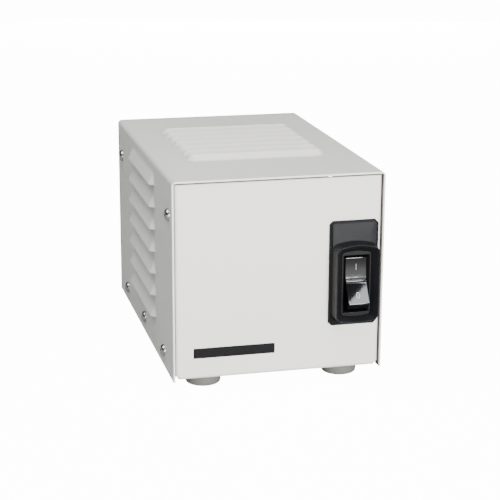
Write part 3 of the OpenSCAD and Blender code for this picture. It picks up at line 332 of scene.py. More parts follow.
# %% Finishes
def finish(name, colour, roughness, metallic=0.0, grain_size=0.4, depth=0.02, unevenness=0.1, amount=0.05,
           patch=25, coat=0.0, specular=0.5):
    """A finish with mottled colour and fine grain, in millimetres; colour can be a group and what goes into it."""
    material, tree, shader = material_tree(name)
    if isinstance(colour[0], Tree):
        colour = tree.add("ShaderNodeGroup", colour[1], node_tree=colour[0].data)
    else:
        colour = (*colour, 1)
    mottled = {"Colour": colour, "Amount": amount, "Patch size": patch * mm}
    grained = {"Grain size": grain_size * mm, "Depth": depth * mm, "Roughness": roughness, "Unevenness": unevenness}
    fine = tree.add("ShaderNodeGroup", grained, out="Normal", node_tree=grain.data)
    tree.give(shader, {
        "Base Color": tree.add("ShaderNodeGroup", mottled, node_tree=mottle.data), "Normal": fine,
        "Roughness": fine.other("Roughness"), "Metallic": metallic, "Coat Weight": coat,
        "Specular IOR Level": specular})
    return material


paint_colour = (0.73, 0.712, 0.662)
paint = dict(roughness=0.46, grain_size=0.55, depth=0.02, amount=0.02, patch=60, specular=0.3)
finishes = {"case_paint": finish("case_paint", paint_colour, **paint)}
# Each row: colour, roughness, metallic, grain size, depth, unevenness, amount, patch, coat, specular
for slot, *row in (
    ("zinc_steel", (0.62, 0.63, 0.62), 0.34, 1.0, 0.25, 0.01, 0.25, 0.15, 12),
    ("screw_steel", (0.46, 0.455, 0.43), 0.2, 1.0, 0.2, 0.004, 0.12, 0.06, 4),
    ("foot_rubber", (0.13, 0.13, 0.12), 0.62, 0, 0.5, 0.04, 0.1, 0.08, 25, 0, 0.2),
    ("bezel_plastic", (0.006, 0.0064, 0.0075), 0.5, 0, 0.35, 0.012, 0.1, 0.1, 25, 0, 0.12),
    ("switch_plastic", (0.004, 0.004, 0.0045), 0.4, 0, 0.5, 0.004, 0.1, 0.1, 25, 0, 0.15),
    ("rocker_plastic", (0.003, 0.003, 0.0035), 0.09, 0, 3, 0.02, 0.05),
    ("contact_brass", (0.72, 0.53, 0.24), 0.25, 1.0, 0.3, 0.005, 0.2, 0.2, 6),
    ("lamination_steel", (0.20, 0.19, 0.18), 0.45, 0.9, 0.3, 0.02, 0.3, 0.25, 9),
    ("bobbin_plastic", (0.72, 0.70, 0.62), 0.4, 0, 0.6, 0.02),
    ("copper_wire", (0.62, 0.22, 0.09), 0.25, 1.0, 0.5, 0.005, 0.1, 0.12, 9, 0.5),
    ("screen_foil", (0.80, 0.45, 0.30), 0.22, 1.0, 0.4, 0.01, 0.2, 0.1, 10),
    ("coil_tape", (0.62, 0.42, 0.10), 0.3, 0, 0.7, 0.05, 0.1, 0.12, 10),
    ("fibre_board", (0.42, 0.25, 0.13), 0.6, 0, 0.3, 0.05, 0.1, 0.2, 4),
    ("socket_plastic", (0.020, 0.020, 0.021), 0.35, 0, 0.4, 0.015, 0.1, 0.1),
    ("outlet_plastic", (0.050, 0.051, 0.055), 0.3, 0, 0.6, 0.01),
    ("tinned_brass", (0.75, 0.74, 0.71), 0.28, 1.0, 0.3, 0.01, 0.2, 0.1, 6),
    ("wire_black", (0.02, 0.02, 0.02), 0.4, 0, 1.2, 0.03),
    ("wire_white", (0.75, 0.74, 0.70), 0.4, 0, 1.2, 0.03),
    ("wire_green", (0.02, 0.22, 0.06), 0.4, 0, 1.2, 0.03),
):
    finishes[slot] = finish(slot, *row)
print(len(finishes), "finishes")

# %% [markdown]
# The CAD nodes come with a flat colour each, and every one takes the finish of its slot. The pieces made below
# replace most of these nodes later.

# %% Dress the CAD nodes
slots = {part["node"]: part["material_slot"] for part in frame["record"]["subparts"]}
for name, node in NODES.items():
    node.data.materials.clear()
    node.data.materials.append(finishes[slots[name]])
print("dressed", len(slots), "nodes")

# %% [markdown]
# Four helpers for pieces. The first runs a Geometry Nodes tree and keeps the plain mesh. The second settles a
# mesh: near points are joined, faces are turned outwards, modifiers are applied, and edges sharper than a limit
# are marked, so the rest shades smoothly. The third gives the piece its finish, hangs it on its body and hides the
# CAD nodes that it replaces. The fourth settles and hands over a piece of the case that stands for one CAD node.

# %% Helpers for pieces
def grow(tree, sizes, points=(), outward=()):
    """Runs a Geometry Nodes tree on some points, with its inputs set by name, and returns a plain mesh."""
    start = bpy.data.meshes.new("points")
    start.from_pydata(points, [], [])
    if outward:
        facing = start.attributes.new("outward", "FLOAT_VECTOR", "POINT")
        facing.data.foreach_set("vector", [c for direction in outward for c in direction])
    seed = linked("seed", start)
    modifier = seed.modifiers.new("tree", "NODES")
    modifier.node_group = tree.data
    for item in tree.data.interface.items_tree:
        if item.in_out == "INPUT" and item.name in sizes:
            modifier[item.identifier] = sizes[item.name]
    mesh = applied(seed)
    bpy.data.objects.remove(seed)
    return mesh


def settle(name, mesh, weld=0.005, thickness=0, bevel=0, bevel_angle=40, sharp=35, outwards=True):
    """A finished object from a mesh; weld, thickness and bevel are in millimetres."""
    work = bmesh.new()
    work.from_mesh(mesh)
    bmesh.ops.remove_doubles(work, verts=work.verts, dist=weld * mm)
    if outwards:
        bmesh.ops.recalc_face_normals(work, faces=work.faces)
    work.to_mesh(mesh)
    work.free()
    piece = linked(name, mesh)
    if thickness:
        wall = piece.modifiers.new("wall", "SOLIDIFY")
        wall.thickness, wall.offset = thickness * mm, -1
    if bevel:
        edge = piece.modifiers.new("edge", "BEVEL")
        edge.width, edge.segments, edge.use_clamp_overlap = bevel * mm, 2, False
        edge.limit_method, edge.angle_limit = "ANGLE", math.radians(bevel_angle)
    if piece.modifiers:
        piece.data = applied(piece)
        piece.modifiers.clear()
    piece.data.polygons.foreach_set("use_smooth", [True] * len(piece.data.polygons))
    piece.data.set_sharp_from_angle(angle=math.radians(sharp))
    if bevel:
        piece.modifiers.new("even", "WEIGHTED_NORMAL").keep_sharp = True
        piece.data = applied(piece)
        piece.modifiers.clear()
    return piece


def hand_over(piece, slot, body="case", replaces=(), look=None):
    """Gives a piece the finish of its slot, or another look, hangs it on its body and hides the CAD nodes it stands
    for.
    """
    piece.data.materials.clear()
    piece.data.materials.append(look or finishes[slot])
    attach(piece, body)
    if replaces:
        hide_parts(*replaces)
    print(piece.name, len(piece.data.polygons), "faces, box", in_mm(piece.dimensions))


def stand_in(name, mesh, node, **how):
    """A settled piece that stands for one CAD node of the case, with the finish of its slot."""
    piece = settle(name, mesh, **how)
    hand_over(piece, slots[node], replaces=[node])
    return piece


print("piece helpers ready")

# %% [markdown]
# The cover is one steel sheet. As in the factory, its louvres are pressed into a flat blank, which is then bent
# twice. A louvre is cut along one straight slit. Its lip stands up there, and the skin runs back down to the
# sheet as an even slope. Along the slit it stays high and then falls off quickly, which gives the blunt, rounded
# noses. A Geometry Nodes tree presses this rule into a grid whose columns lie mostly in the two noses.

# %% Tree: a row of louvres
louvre_pitch, louvre_rise, louvre_reach = 13.85 * mm, 3.2 * mm, 7.3 * mm
louvre_nose, louvre_edge = 6.5 * mm, 9.5 * mm
louvre_cells, louvre_count = 20, 7
steeper, lip_blend = 1.08, 0.5 * mm

louvres, given, result = group("louvre_field", {
    "Length": 80 * mm, "Reach": louvre_reach, "Rise": louvre_rise, "Pitch": louvre_pitch, "Edge": louvre_edge,
    "Nose": louvre_nose, "Blend": 0.9 * mm, "Cells": louvre_cells, "Count": louvre_count, "Finish": MATERIAL})
cells = given["Cells"]
wide, high = cells * 2.0 + 1.0, cells + 1.0
sheet = louvres.add("GeometryNodeMeshGrid", {
    "Size X": wide, "Size Y": high, "Vertices X": wide + 1.0, "Vertices Y": high + 1.0})

# Grid steps become places: the straight is one wide column, and the last row reaches the next slit
spot = louvres.add("ShaderNodeSeparateXYZ", {0: louvres.add("GeometryNodeInputPosition")}, out="X")
cell = given["Edge"] / cells
half_straight = given["Length"] * 0.5 - given["Nose"]
past_straight = (louvres.calc("ABSOLUTE", spot) - 0.5) * cell
along = (half_straight + past_straight) * louvres.calc("SIGN", spot)
row = spot.other("Y") + high * 0.5
last_row = louvres.calc("MAXIMUM", row - cells, 0.0)
last_step = given["Pitch"] - given["Edge"] - cell
across = row * cell + last_row * last_step

# The height of the skin: a slope up to the lip that falls off in the noses, blended softly into the sheet
fallen = across / given["Reach"] + louvres.calc("POWER", past_straight / given["Nose"], 3.0)
slope = given["Rise"] * steeper * (1.0 - fallen)
lipped = louvres.calc("SMOOTH_MIN", slope, given["Rise"], lip_blend)
height = louvres.calc("SMOOTH_MAX", lipped, 0.0, given["Blend"])
placed = {"Geometry": sheet, "Position": louvres.vector(along, across, height)}

# One louvre becomes a row of them
line = {"Count": given["Count"], "Offset": louvres.vector(0.0, given["Pitch"])}
louvres.build(given, result, louvres.add("GeometryNodeInstanceOnPoints", {
    "Points": louvres.add("GeometryNodeMeshLine", line), "Instance": louvres.add("GeometryNodeSetPosition", placed)}))

# %% [markdown]
# The blank is measured along the sheet: s runs from the left side's lower edge over the top to the right side's
# lower edge, and y from front to rear. Each field of louvres is set into it and cut short at its depth, and the
# sheet round the fields is filled, with a round hole left for every screw.

# %% Cover: the flat blank
case_w, case_h = 127 * mm, 120.3 * mm
sheet_t, bend_r = 1.2, 2.6 * mm
front_y, rear_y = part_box("cover")[0].y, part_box("cover")[1].y
cover_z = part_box("cover")[0].z
top_z = cover_z + case_h
half_top = case_w / 2 - bend_r
bend_l = bend_r * math.pi / 2
half_blank = half_top + bend_l + case_h - bend_r
screw_hole_r = 2.1 * mm
low_row, high_row = cover_z + 10.4 * mm, top_z - 21.5 * mm
low_front, low_rear = front_y + 29.3 * mm, rear_y - 33.7 * mm
screw_places = [
    (front_y + 11 * mm, high_row), (rear_y - 17.1 * mm, high_row), (low_front, low_row),
    ((low_front + low_rear) / 2, low_row), (low_rear, low_row),
]


def down_side(z):
    """How far along the blank a height on a side lies from its middle line."""
    return half_top + bend_l + top_z - bend_r - z


def field_points(length, depth):
    """The columns and rows of a field's outline, as the tree spaces them."""
    step = louvre_edge / louvre_cells
    ends = [length / 2 - louvre_nose + i * step for i in range(louvre_cells + 1)]
    rows = [k * louvre_pitch + j * step for k in range(louvre_count) for j in range(louvre_cells + 1)]
    return [-a for a in reversed(ends)] + ends, [r for r in rows if r < depth] + [depth]


side_l, top_l = 83 * mm, 85.4 * mm
field_depth = (louvre_count - 1) * louvre_pitch + 10.4 * mm
side_y = front_y + 96.5 * mm
side_slit = down_side(cover_z + 22.9 * mm)
top_slit = front_y + 57.9 * mm + (louvre_count - 1) * louvre_pitch
fields = {
    "left": (side_l, lambda a, b: (b - side_slit, side_y + a)),
    "right": (side_l, lambda a, b: (side_slit - b, side_y - a)),
    "top": (top_l, lambda a, b: (a, top_slit - b)),
}
blank = bmesh.new()
for length, to_blank in fields.values():
    part = grow(louvres, {"Length": length, "Finish": finishes["case_paint"]})
    for vertex in part.vertices:
        a, b, h = vertex.co
        vertex.co = (*to_blank(a, min(b, field_depth)), h)
    blank.from_mesh(part)
print("louvre fields", len(blank.verts), "points")

# %% Cover: the flat sheet round the fields
def loop(points):
    """A closed ring of edges in the blank."""
    verts = [blank.verts.new((s, y, 0)) for s, y in points]
    return [blank.edges.new((verts[i - 1], verts[i])) for i in range(len(verts))]


strip, screw_hole_sides = 0.5 * mm, 24
panels = {
    "left": (-half_blank, -half_top - bend_l - strip),
    "right": (half_top + bend_l + strip, half_blank),
    "top": (-half_top + strip, half_top - strip),
}
for side, (low, high) in panels.items():
    length, to_blank = fields[side]
    columns, rows = field_points(length, field_depth)
    outline = (
        [(a, 0) for a in columns] + [(columns[-1], b) for b in rows[1:-1]]
        + [(a, field_depth) for a in reversed(columns)] + [(columns[0], b) for b in reversed(rows[1:-1])]
    )
    edges = loop([(low, front_y), (high, front_y), (high, rear_y), (low, rear_y)])
    edges += loop([to_blank(a, b) for a, b in outline])
    if side != "top":
        sign = -1 if side == "left" else 1
        for y, z in screw_places:
            s = sign * down_side(z)
            edges += loop([(s + screw_hole_r * math.cos(a), y + screw_hole_r * math.sin(a))
                           for a in around(screw_hole_sides)])
    bmesh.ops.triangle_fill(blank, edges=edges, use_beauty=True)
print("blank", len(blank.faces), "faces")

# %% [markdown]
# Now the two bends. A strip of narrow faces is laid along each, and then every point of the blank is folded: in
# the bend it turns by an angle, and further down it hangs straight.

# %% Cover: bend the blank
bend_steps = 10
bend_line = [half_top - strip, half_top] + [half_top + bend_l * (i + 1) / bend_steps for i in range(bend_steps)]
bend_line.append(half_top + bend_l + strip)
for sign in (-1, 1):
    rungs = [[blank.verts.new((sign * s, y, 0)) for y in (front_y, rear_y)] for s in bend_line]
    for (a, b), (c, d) in zip(rungs, rungs[1:]):
        blank.faces.new((a, b, d, c))


def fold(s, y, h):
    """The place of a point of the blank on the bent cover; h is its height off the sheet."""
    sign, past = math.copysign(1, s), abs(s) - half_top
    if past <= 0:
        return (s, y, top_z + h)
    if past < bend_l:
        turn = past / bend_r
        return (sign * (half_top + (bend_r + h) * math.sin(turn)), y, top_z - bend_r + (bend_r + h) * math.cos(turn))
    return (sign * (case_w / 2 + h), y, top_z - bend_r - (past - bend_l))


bmesh.ops.remove_doubles(blank, verts=blank.verts, dist=0.005 * mm)
bmesh.ops.recalc_face_normals(blank, faces=blank.faces)
flat = max(blank.faces, key=lambda f: f.calc_area())
if flat.normal.z < 0:
    bmesh.ops.reverse_faces(blank, faces=blank.faces)
for vertex in blank.verts:
    vertex.co = fold(*vertex.co)
cover = settle("louvred_cover", mesh_of(blank, "cover_sheet"), thickness=sheet_t, bevel=0.22, bevel_angle=50, sharp=20,
               outwards=False)
print("bent cover", len(cover.data.polygons), "faces")

# %% [markdown]
# Inside the cover and along the cut edges of the front panel the colour is painted darker: painted shade that makes
# the dark line of the gap round the panel. One group serves both: it gives one colour to what lies deeper inside a
# box than a chosen depth, another to what lies nearer its sides and top, and a ramp between the two.

# %% Group: painted shade in two zones
# The dark colour is painted shade for the gap inside the cover, not a paint of its own
gap_shade_colour, full_depth = (0.2, 0.195, 0.185, 1), 0.03 * mm
zones, given, result = group(
    "painted_shade_zones",
    {"Near": (*paint_colour, 1), "Deep": gap_shade_colour, "Half width": case_w / 2, "Top": top_z,
     "Depth": sheet_t * mm, "Ramp": 0.12 * mm},
    {"Colour": COLOR},
)
spot = zones.add("ShaderNodeSeparateXYZ", {0: zones.place()}, out="X")
past_side = zones.calc("ABSOLUTE", spot) - given["Half width"]
past_top = spot.other("Z") - given["Top"]
deep = zones.add("ShaderNodeMapRange", {
    "Value": zones.calc("MAXIMUM", past_side, past_top) + given["Depth"], "From Min": given["Ramp"],
    "From Max": full_depth})
mix_factor, mix_first, mix_second, mix_colour = 0, 6, 7, 2
zones.hand_out(result, Colour=zones.add(
    "ShaderNodeMix", {mix_factor: deep, mix_first: given["Near"], mix_second: given["Deep"]}, out=mix_colour,
    data_type="RGBA"))
# The cover's inner faces get the painted shade of the gap
hand_over(cover, "case_paint", replaces=["cover"], look=finish("cover_paint", (zones, {}), **paint))

# %% [markdown]
# The chassis is one bent sheet too: floor, front panel and rear panel. Its CAD mesh has the right shape but comes
# as loose triangles with hard edges. A copy is welded, flat faces are joined again, and a fine bevel rounds the
# edges, as paint does on a real cut edge.

# %% Helper: a welded copy of a CAD node
def welded(name, node, bevel=0.2, bevel_angle=50, sharp=20):
    """A smooth, finely bevelled copy of a CAD node that stands for it."""
    gap, flat_angle = 0.002 * mm, math.radians(0.4)
    mesh = NODES[node].data.copy()
    work = bmesh.new()
    work.from_mesh(mesh)
    bmesh.ops.remove_doubles(work, verts=work.verts, dist=gap)
    bmesh.ops.dissolve_limit(work, angle_limit=flat_angle, verts=work.verts, edges=work.edges)
    work.to_mesh(mesh)
    work.free()
    return stand_in(name, mesh, node, weld=0.001, bevel=bevel, bevel_angle=bevel_angle, sharp=sharp, outwards=False)


chassis = welded("bent_chassis", "chassis")
panel_zone = 4 * mm
panel = [v.co for v in chassis.data.vertices if v.co.y < front_y + panel_zone and v.co.z > case_h / 2]
# The outer edges of the front panel are painted darker: painted shade along the gap under the cover's edge
panel_edge_shade = {
    "Near": (0.16, 0.156, 0.148, 1), "Deep": (*paint_colour, 1), "Depth": 0.75 * mm, "Ramp": 0.6 * mm,
    "Half width": max(abs(point.x) for point in panel), "Top": max(point.z for point in panel),
}
print("front panel, half width and top", in_mm([panel_edge_shade["Half width"], panel_edge_shade["Top"]]))
chassis.data.materials[0] = finish("chassis_paint", (zones, panel_edge_shade), **paint)

# %% [markdown]
# A lathe piece needs only half of its section, which is swept round its axis in equal steps. A point with no
# radius closes the pole.

# %% Helper: turned pieces
def turned(section, steps):
    """A mesh of revolution about Z from (radius, height) pairs in millimetres."""
    rings = []
    work = bmesh.new()
    for r, z in section:
        angles = around(steps) if r else [0]
        rings.append([work.verts.new((r * mm * math.cos(a), r * mm * math.sin(a), z * mm)) for a in angles])
    for low, high in zip(rings, rings[1:]):
        for i in range(steps):
            j = (i + 1) % steps
            corners = [low[i % len(low)], low[j % len(low)], high[j % len(high)], high[i % len(high)]]
            work.faces.new(list(dict.fromkeys(corners)))
    bmesh.ops.remove_doubles(work, verts=work.verts, dist=0.0005 * mm)
    bmesh.ops.recalc_face_normals(work, faces=work.faces)
    return mesh_of(work, "turned")


def rounded(cx, cz, r, a0, a1, steps):
    """Points of a quarter round in a section, from one angle to another, in degrees."""
    angles = [math.radians(a0 + (a1 - a0) * i / steps) for i in range(steps + 1)]
    return [(cx + r * math.cos(a), cz + r * math.sin(a)) for a in angles]


print("lathe ready")

# %% [markdown]
# The four round rubber feet have a pocket for the screw, a rounded tread and a slight taper, all in one section.

# %% Feet
foot_section = (
    [(2.15, 3.4), (4.3, 3.4)] + rounded(4.9, 0.3, 0.3, 180, 270, 3) + rounded(9.2, 1.4, 1.4, 270, 353, 8)
    + rounded(10.3, 6.8, 0.4, 0, 90, 3) + [(2.15, 7.2), (2.15, 3.4)]
)
for node in [n for n in NODES if n.startswith("foot_front") or n.startswith("foot_rear")]:
    low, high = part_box(node)
    mesh = turned(foot_section, steps=72)
    mesh.transform(Matrix.Translation(((low.x + high.x) / 2, (low.y + high.y) / 2, 0)))
    stand_in("rubber_" + node, mesh, node, weld=0.001)

# %% [markdown]
# The cover is held by pan-head screws with a cross recess. One is turned on the lathe, and a Boolean modifier
# sinks the cross. Geometry Nodes then set a copy at every hole, each turned by a seeded random angle.

# %% Tree: fasteners set out on points
full_turn = 6.2832
spread, given, result = group("set_out_fasteners", {
    "Points": GEOMETRY, "Fastener": OBJECT, "Most turn": full_turn, "Seed": 4, "Finish": MATERIAL})
one = spread.add("GeometryNodeObjectInfo", {"Object": given["Fastener"]}, out="Geometry", transform_space="ORIGINAL")
facing = spread.add("GeometryNodeInputNamedAttribute", {"Name": "outward"}, out="Attribute", data_type="FLOAT_VECTOR")
random_most, random_value = 3, 1
chance = spread.add("FunctionNodeRandomValue", {random_most: given["Most turn"], "Seed": given["Seed"]},
                    out=random_value, data_type="FLOAT")
turn = spread.add("FunctionNodeRotateRotation", {
    "Rotation": spread.add("FunctionNodeAlignRotationToVector", {"Vector": facing}, axis="Z"),
    "Rotate By": spread.add("FunctionNodeAxisAngleToRotation", {"Angle": chance})}, rotation_space="LOCAL")
spread.build(given, result, spread.add(
    "GeometryNodeInstanceOnPoints", {"Points": given["Points"], "Instance": one, "Rotation": turn}))

# %% Cover screws
head_r, head_h, shank_r, shank_l = 3.75, 2.3, 1.95, 8
cross_l, cross_w, cross_d, cross_taper_l, cross_taper_w = 4.5, 1.1, 1.2, 0.72, 0.6
dome_steps, dome_flat, dome_full = 12, 0.55, 0.95
dome = [(head_r * math.cos(t) ** dome_flat, head_h * math.sin(t) ** dome_full)
        for t in (math.radians(90 * i / dome_steps) for i in range(1, dome_steps))]
tip = [(0, -shank_l), (shank_r - 0.5, -shank_l), (shank_r, 0.6 - shank_l), (shank_r, 0)]
plain = linked("screw_blank", turned(tip + [(head_r, 0)] + dome + [(0, head_h)], steps=40))
work = bmesh.new()
for turned_by in (0, 90):
    bar = bmesh.ops.create_cube(work, size=1)["verts"]
    for vertex in bar:
        top = vertex.co.z > 0
        vertex.co.x *= (cross_l if top else cross_l * cross_taper_l) * mm
        vertex.co.y *= (cross_w if top else cross_w * cross_taper_w) * mm
        vertex.co.z = (head_h + 0.3 if top else head_h - cross_d) * mm
    bmesh.ops.rotate(work, verts=bar, matrix=Matrix.Rotation(math.radians(turned_by), 3, "Z"))
cross = linked("cross", mesh_of(work, "cross"))
sink = plain.modifiers.new("sink", "BOOLEAN")
sink.operation, sink.solver, sink.object, sink.use_self = "DIFFERENCE", "EXACT", cross, True
screw = linked("screw", applied(plain))
places = [(side * case_w / 2, y, z) for side in (-1, 1) for y, z in screw_places]
outward = [(side, 0, 0) for side in (-1, 1) for place in screw_places]
mesh = grow(spread, {"Fastener": screw, "Finish": finishes[slots["cover_screws"]]}, places, outward)
for spent in (plain, cross, screw):
    bpy.data.objects.remove(spent)
stand_in("cover_pan_screws", mesh, "cover_screws", weld=0.0005, outwards=False)

# %% [markdown]
# The switch sits in a moulded bezel: a flat plate with bevelled edges, and on it a collar that guards the rocker.
# Every level of it is a tall rectangle with round or cut corners and a softly arched top and foot. So the whole
# moulding is a stack of such outlines, joined ring to ring and the last to the first.

# %% Helpers for ringed mouldings
corner_steps, arch_steps, side_steps = 8, 16, 4


def arch_drop(x, width, sag):
    """How far a shallow arch has dropped from its crown at x."""
    if sag == 0:
        return 0
    r = (width * width / 4 + sag * sag) / (2 * sag)
    return r - math.sqrt(r * r - x * x)


def shield(sizes, grow):
    """An upright outline in X and Z with an arched top and foot, grown all round; cut corners are straight."""
    width, above, below, sag, foot_sag, corner, cut = sizes
    width, above, below, corner = width + 2 * grow, above + grow, below + grow, max(corner + grow, 0.15)
    xc = width / 2 - corner
    zt = above - corner - arch_drop(xc, width, sag)
    zb = -below + corner + arch_drop(xc, width, foot_sag)

    def bend(cx, cz, a0):
        if cut:
            ends = rounded(cx, cz, corner, a0, a0 + 90, 1)
            return [tuple(p + (q - p) * i / corner_steps for p, q in zip(*ends)) for i in range(corner_steps + 1)]
        return rounded(cx, cz, corner, a0, a0 + 90, corner_steps)

    across = [xc - 2 * xc * i / arch_steps for i in range(1, arch_steps)]
    down = [zt + (zb - zt) * i / side_steps for i in range(1, side_steps)]
    return (
        bend(xc, zt, 0) + [(x, above - arch_drop(x, width, sag)) for x in across]
        + bend(-xc, zt, 90) + [(-width / 2, z) for z in down]
        + bend(-xc, zb, 180) + [(-x, -below + arch_drop(x, width, foot_sag)) for x in across]
        + bend(xc, zb, 270) + [(width / 2, z) for z in reversed(down)]
    )


def upright(name, rings, middle, closed=True):
    """A solid from outlines in X and Z about a middle point, each with its own depth y; millimetres."""
    places = [[(middle[0] + x * mm, y * mm, middle[1] + z * mm) for x, z in ring] for y, ring in rings]
    return ring_solid(name, places, closed)


switch_x = 45.0
pivot_y, pivot_z = -92.048, 61.5
panel_y = front_y / mm + 1.5
frame_y, rim_y, plate_y = panel_y - 7.2, panel_y - 11.5, panel_y - 2.8
switch_middle = (switch_x * mm, pivot_z * mm)
print("switch at", switch_middle)

# %% Bezel and guard collar
plate = (29.7, 37.0, 26.8, 0.0, 0.0, 2.0, True)
foot_of_collar = (26.6, 24.9, 23.3, 2.5, 1.1, 4.5, False)
collar = (26.0, 24.6, 23.0, 2.5, 1.1, 4.5, False)
frame_line = (17.9, 20.05, 20.05, 1.2, 1.2, 2.0, False)
body_hole = (17.2, 18.95, 18.95, 0.0, 0.0, 0.3, False)
rim_t = 0.9
# Each ring: its depth, its outline and how far that is grown
bezel_rings = [
    (panel_y, plate, 0), (panel_y - 1.4, plate, 0), (panel_y - 1.6, plate, -0.1), (plate_y + 0.1, plate, -1.2),
    (plate_y, plate, -1.45), (plate_y, foot_of_collar, 0.55), (plate_y - 0.12, foot_of_collar, 0.22),
    (plate_y - 0.45, foot_of_collar, 0), (rim_y + 1.2, collar, 0.02), (rim_y + 0.45, collar, -0.03),
    (rim_y + 0.15, collar, -0.15), (rim_y, collar, -rim_t / 2), (rim_y + 0.15, collar, 0.15 - rim_t),
    (rim_y + 0.45, collar, -rim_t - 0.04), (frame_y - 0.25, frame_line, 0.27), (frame_y, frame_line, 0.15),
    (frame_y + 1.6, frame_line, 0.15), (frame_y + 1.6, body_hole, 0), (panel_y, body_hole, 0),
]
rings = [(y, shield(sizes, grow)) for y, sizes, grow in bezel_rings]
stand_in("switch_guard_bezel", upright("bezel", rings, switch_middle), "switch_bezel", weld=0.001, sharp=38)

# %% [markdown]
# The switch is clipped in from the front, and its body goes back through the panel. A welded copy will do.

# %% Switch housing
welded("switch_housing_moulding", "switch_housing", bevel=0.18, bevel_angle=28, sharp=22)

# %% [markdown]
# The rocker has two shallow dished faces that meet at a crease with a fine rib along it. Its section is drawn in
# the middle of its throw, swept across, and turned to rest with the line pressed in. A bevel rounds its edges.

# %% Rocker
rocker_w, face_l, face_tilt, half_throw = 12.9, 13.2, math.radians(15.5), math.radians(18)
crease, rib = 5.5, 0.93
face_steps, end_steps = 12, 8
corner_out = crease + face_l * math.sin(face_tilt)
corner_up = rib + face_l * math.cos(face_tilt)
dish = 0.35


def face_point(t, lift=0.0):
    """A point on the upper face, t from the crease to the far edge; lift is its height off the face."""
    bow = dish * (1 - (2 * t - 1) ** 2) - lift
    out = crease + (corner_out - crease) * t - bow * math.cos(face_tilt)
    up = rib + (corner_up - rib) * t + bow * math.sin(face_tilt)
    return (-out, up)


end_r = math.hypot(corner_out, corner_up)
start, stop = math.atan2(corner_up, -corner_out), math.acos(1 / end_r)
upper = [(-crease - 0.5, 0.2), (-crease - 0.45, 0.42), (-crease + 0.2, 0.52), (-crease + 0.25, 0.8)]
upper += [face_point(i / face_steps) for i in range(face_steps + 1)]
turns = [start + (stop - start) * i / end_steps for i in range(1, end_steps + 1)]
upper += [(end_r * math.cos(a), end_r * math.sin(a)) for a in turns]
upper += [(2.4, end_r / 2), (6.3, 2.4)]
section = upper + [(y, -z) for y, z in reversed(upper)]


def on_rocker(x, y, z):
    """From the rocker's own middle position to its place at rest, in metres."""
    c, s = math.cos(-half_throw), math.sin(-half_throw)
    return Vector((switch_x + x, pivot_y + y * c - z * s, pivot_z + y * s + z * c)) * mm


crown, crowned_below, columns = 0.14, -3, 10
pin_r, pin_in, pin_out = 1.4, 6.2, 8.3
slices = []
for i in range(columns + 1):
    x = rocker_w * (i / columns - 0.5)
    fall = crown * (2 * x / rocker_w) ** 2
    slices.append([on_rocker(x, y + fall if y < crowned_below else y, z) for y, z in section])
rocker = settle("rocker_key", ring_solid("rocker", slices), weld=0.001, bevel=0.3, bevel_angle=40, sharp=20)
joined = bmesh.new()
joined.from_mesh(rocker.data)
for low, high in ((-pin_out, -pin_in), (pin_in, pin_out)):
    pin = turned([(0, low), (pin_r, low), (pin_r, high), (0, high)], steps=32)
    pin.transform(Matrix.Translation(on_rocker(0, 0, 0)) @ Matrix.Rotation(math.pi / 2, 4, "Y"))
    joined.from_mesh(pin)
joined.to_mesh(rocker.data)
joined.free()
hand_over(rocker, "rocker_plastic", body="rocker", replaces=["rocker"])

# %% [markdown]
# The two marks, a line for on and a ring for off, are printed in white: thin strips that follow the dished face.

# %% Rocker marks
mark_white = finish("mark_white", (0.42, 0.42, 0.41), 0.35, grain_size=0.2, depth=0.002)
sunk, raised = 0.06, 0.03


def on_face(x, t, lift, lower):
    y, z = face_point(t, lift - crown * (2 * x / rocker_w) ** 2)
    return on_rocker(x, y, -z if lower else z)


def mark(name, outer, inner, lower):
    """A printed mark from matching outlines of (x, t) points; it is sunk a little so that it never floats."""
    rings = [[on_face(x, t, lift, lower) for x, t in line]
             for line, lift in ((outer, -sunk), (outer, raised), (inner, raised), (inner, -sunk))]
    piece = settle(name, ring_solid(name, rings, closed=True), weld=0.0005)
    hand_over(piece, "rocker_plastic", body="rocker", look=mark_white)


bar_t, ring_t, ring_sides = 0.57, 0.58, 40
bar = [(-0.12, 0.44), (0.12, 0.44), (0.12, 0.70), (-0.12, 0.70)]
mark("mark_on", bar, [(x * 0.2, bar_t + (t - bar_t) * 0.9) for x, t in bar], lower=False)
outer_ring, inner_ring = ([(half_x * math.cos(a), ring_t + half_t * math.sin(a)) for a in around(ring_sides)]
                          for half_x, half_t in ((1.05, 0.14), (0.73, 0.116)))
mark("mark_off", outer_ring, inner_ring, lower=True)

# %% [markdown]
# The insulated leads run from the inlet to the switch, the coil and the outlet. A lead's route is the few points
# that the CAD has. A smooth arc in each corner runs from the middle of one leg to the middle of the next, and one
# Geometry Nodes tree draws a round tube along it.

# %% Tree: a lead along its route
tube, given, result = group(
    "lead_on_route", {"Route": GEOMETRY, "Radius": 1.4 * mm, "Sides": 24, "Finish": MATERIAL})
stations = tube.add("GeometryNodeMeshToPoints", {"Mesh": given["Route"]})
line = tube.add("GeometryNodePointsToCurves", {"Points": stations})
section = tube.add("GeometryNodeCurvePrimitiveCircle", {"Resolution": given["Sides"], "Radius": given["Radius"]})
tube.build(given, result, tube.add(
    "GeometryNodeCurveToMesh", {"Curve": line, "Profile Curve": section, "Fill Caps": True}))

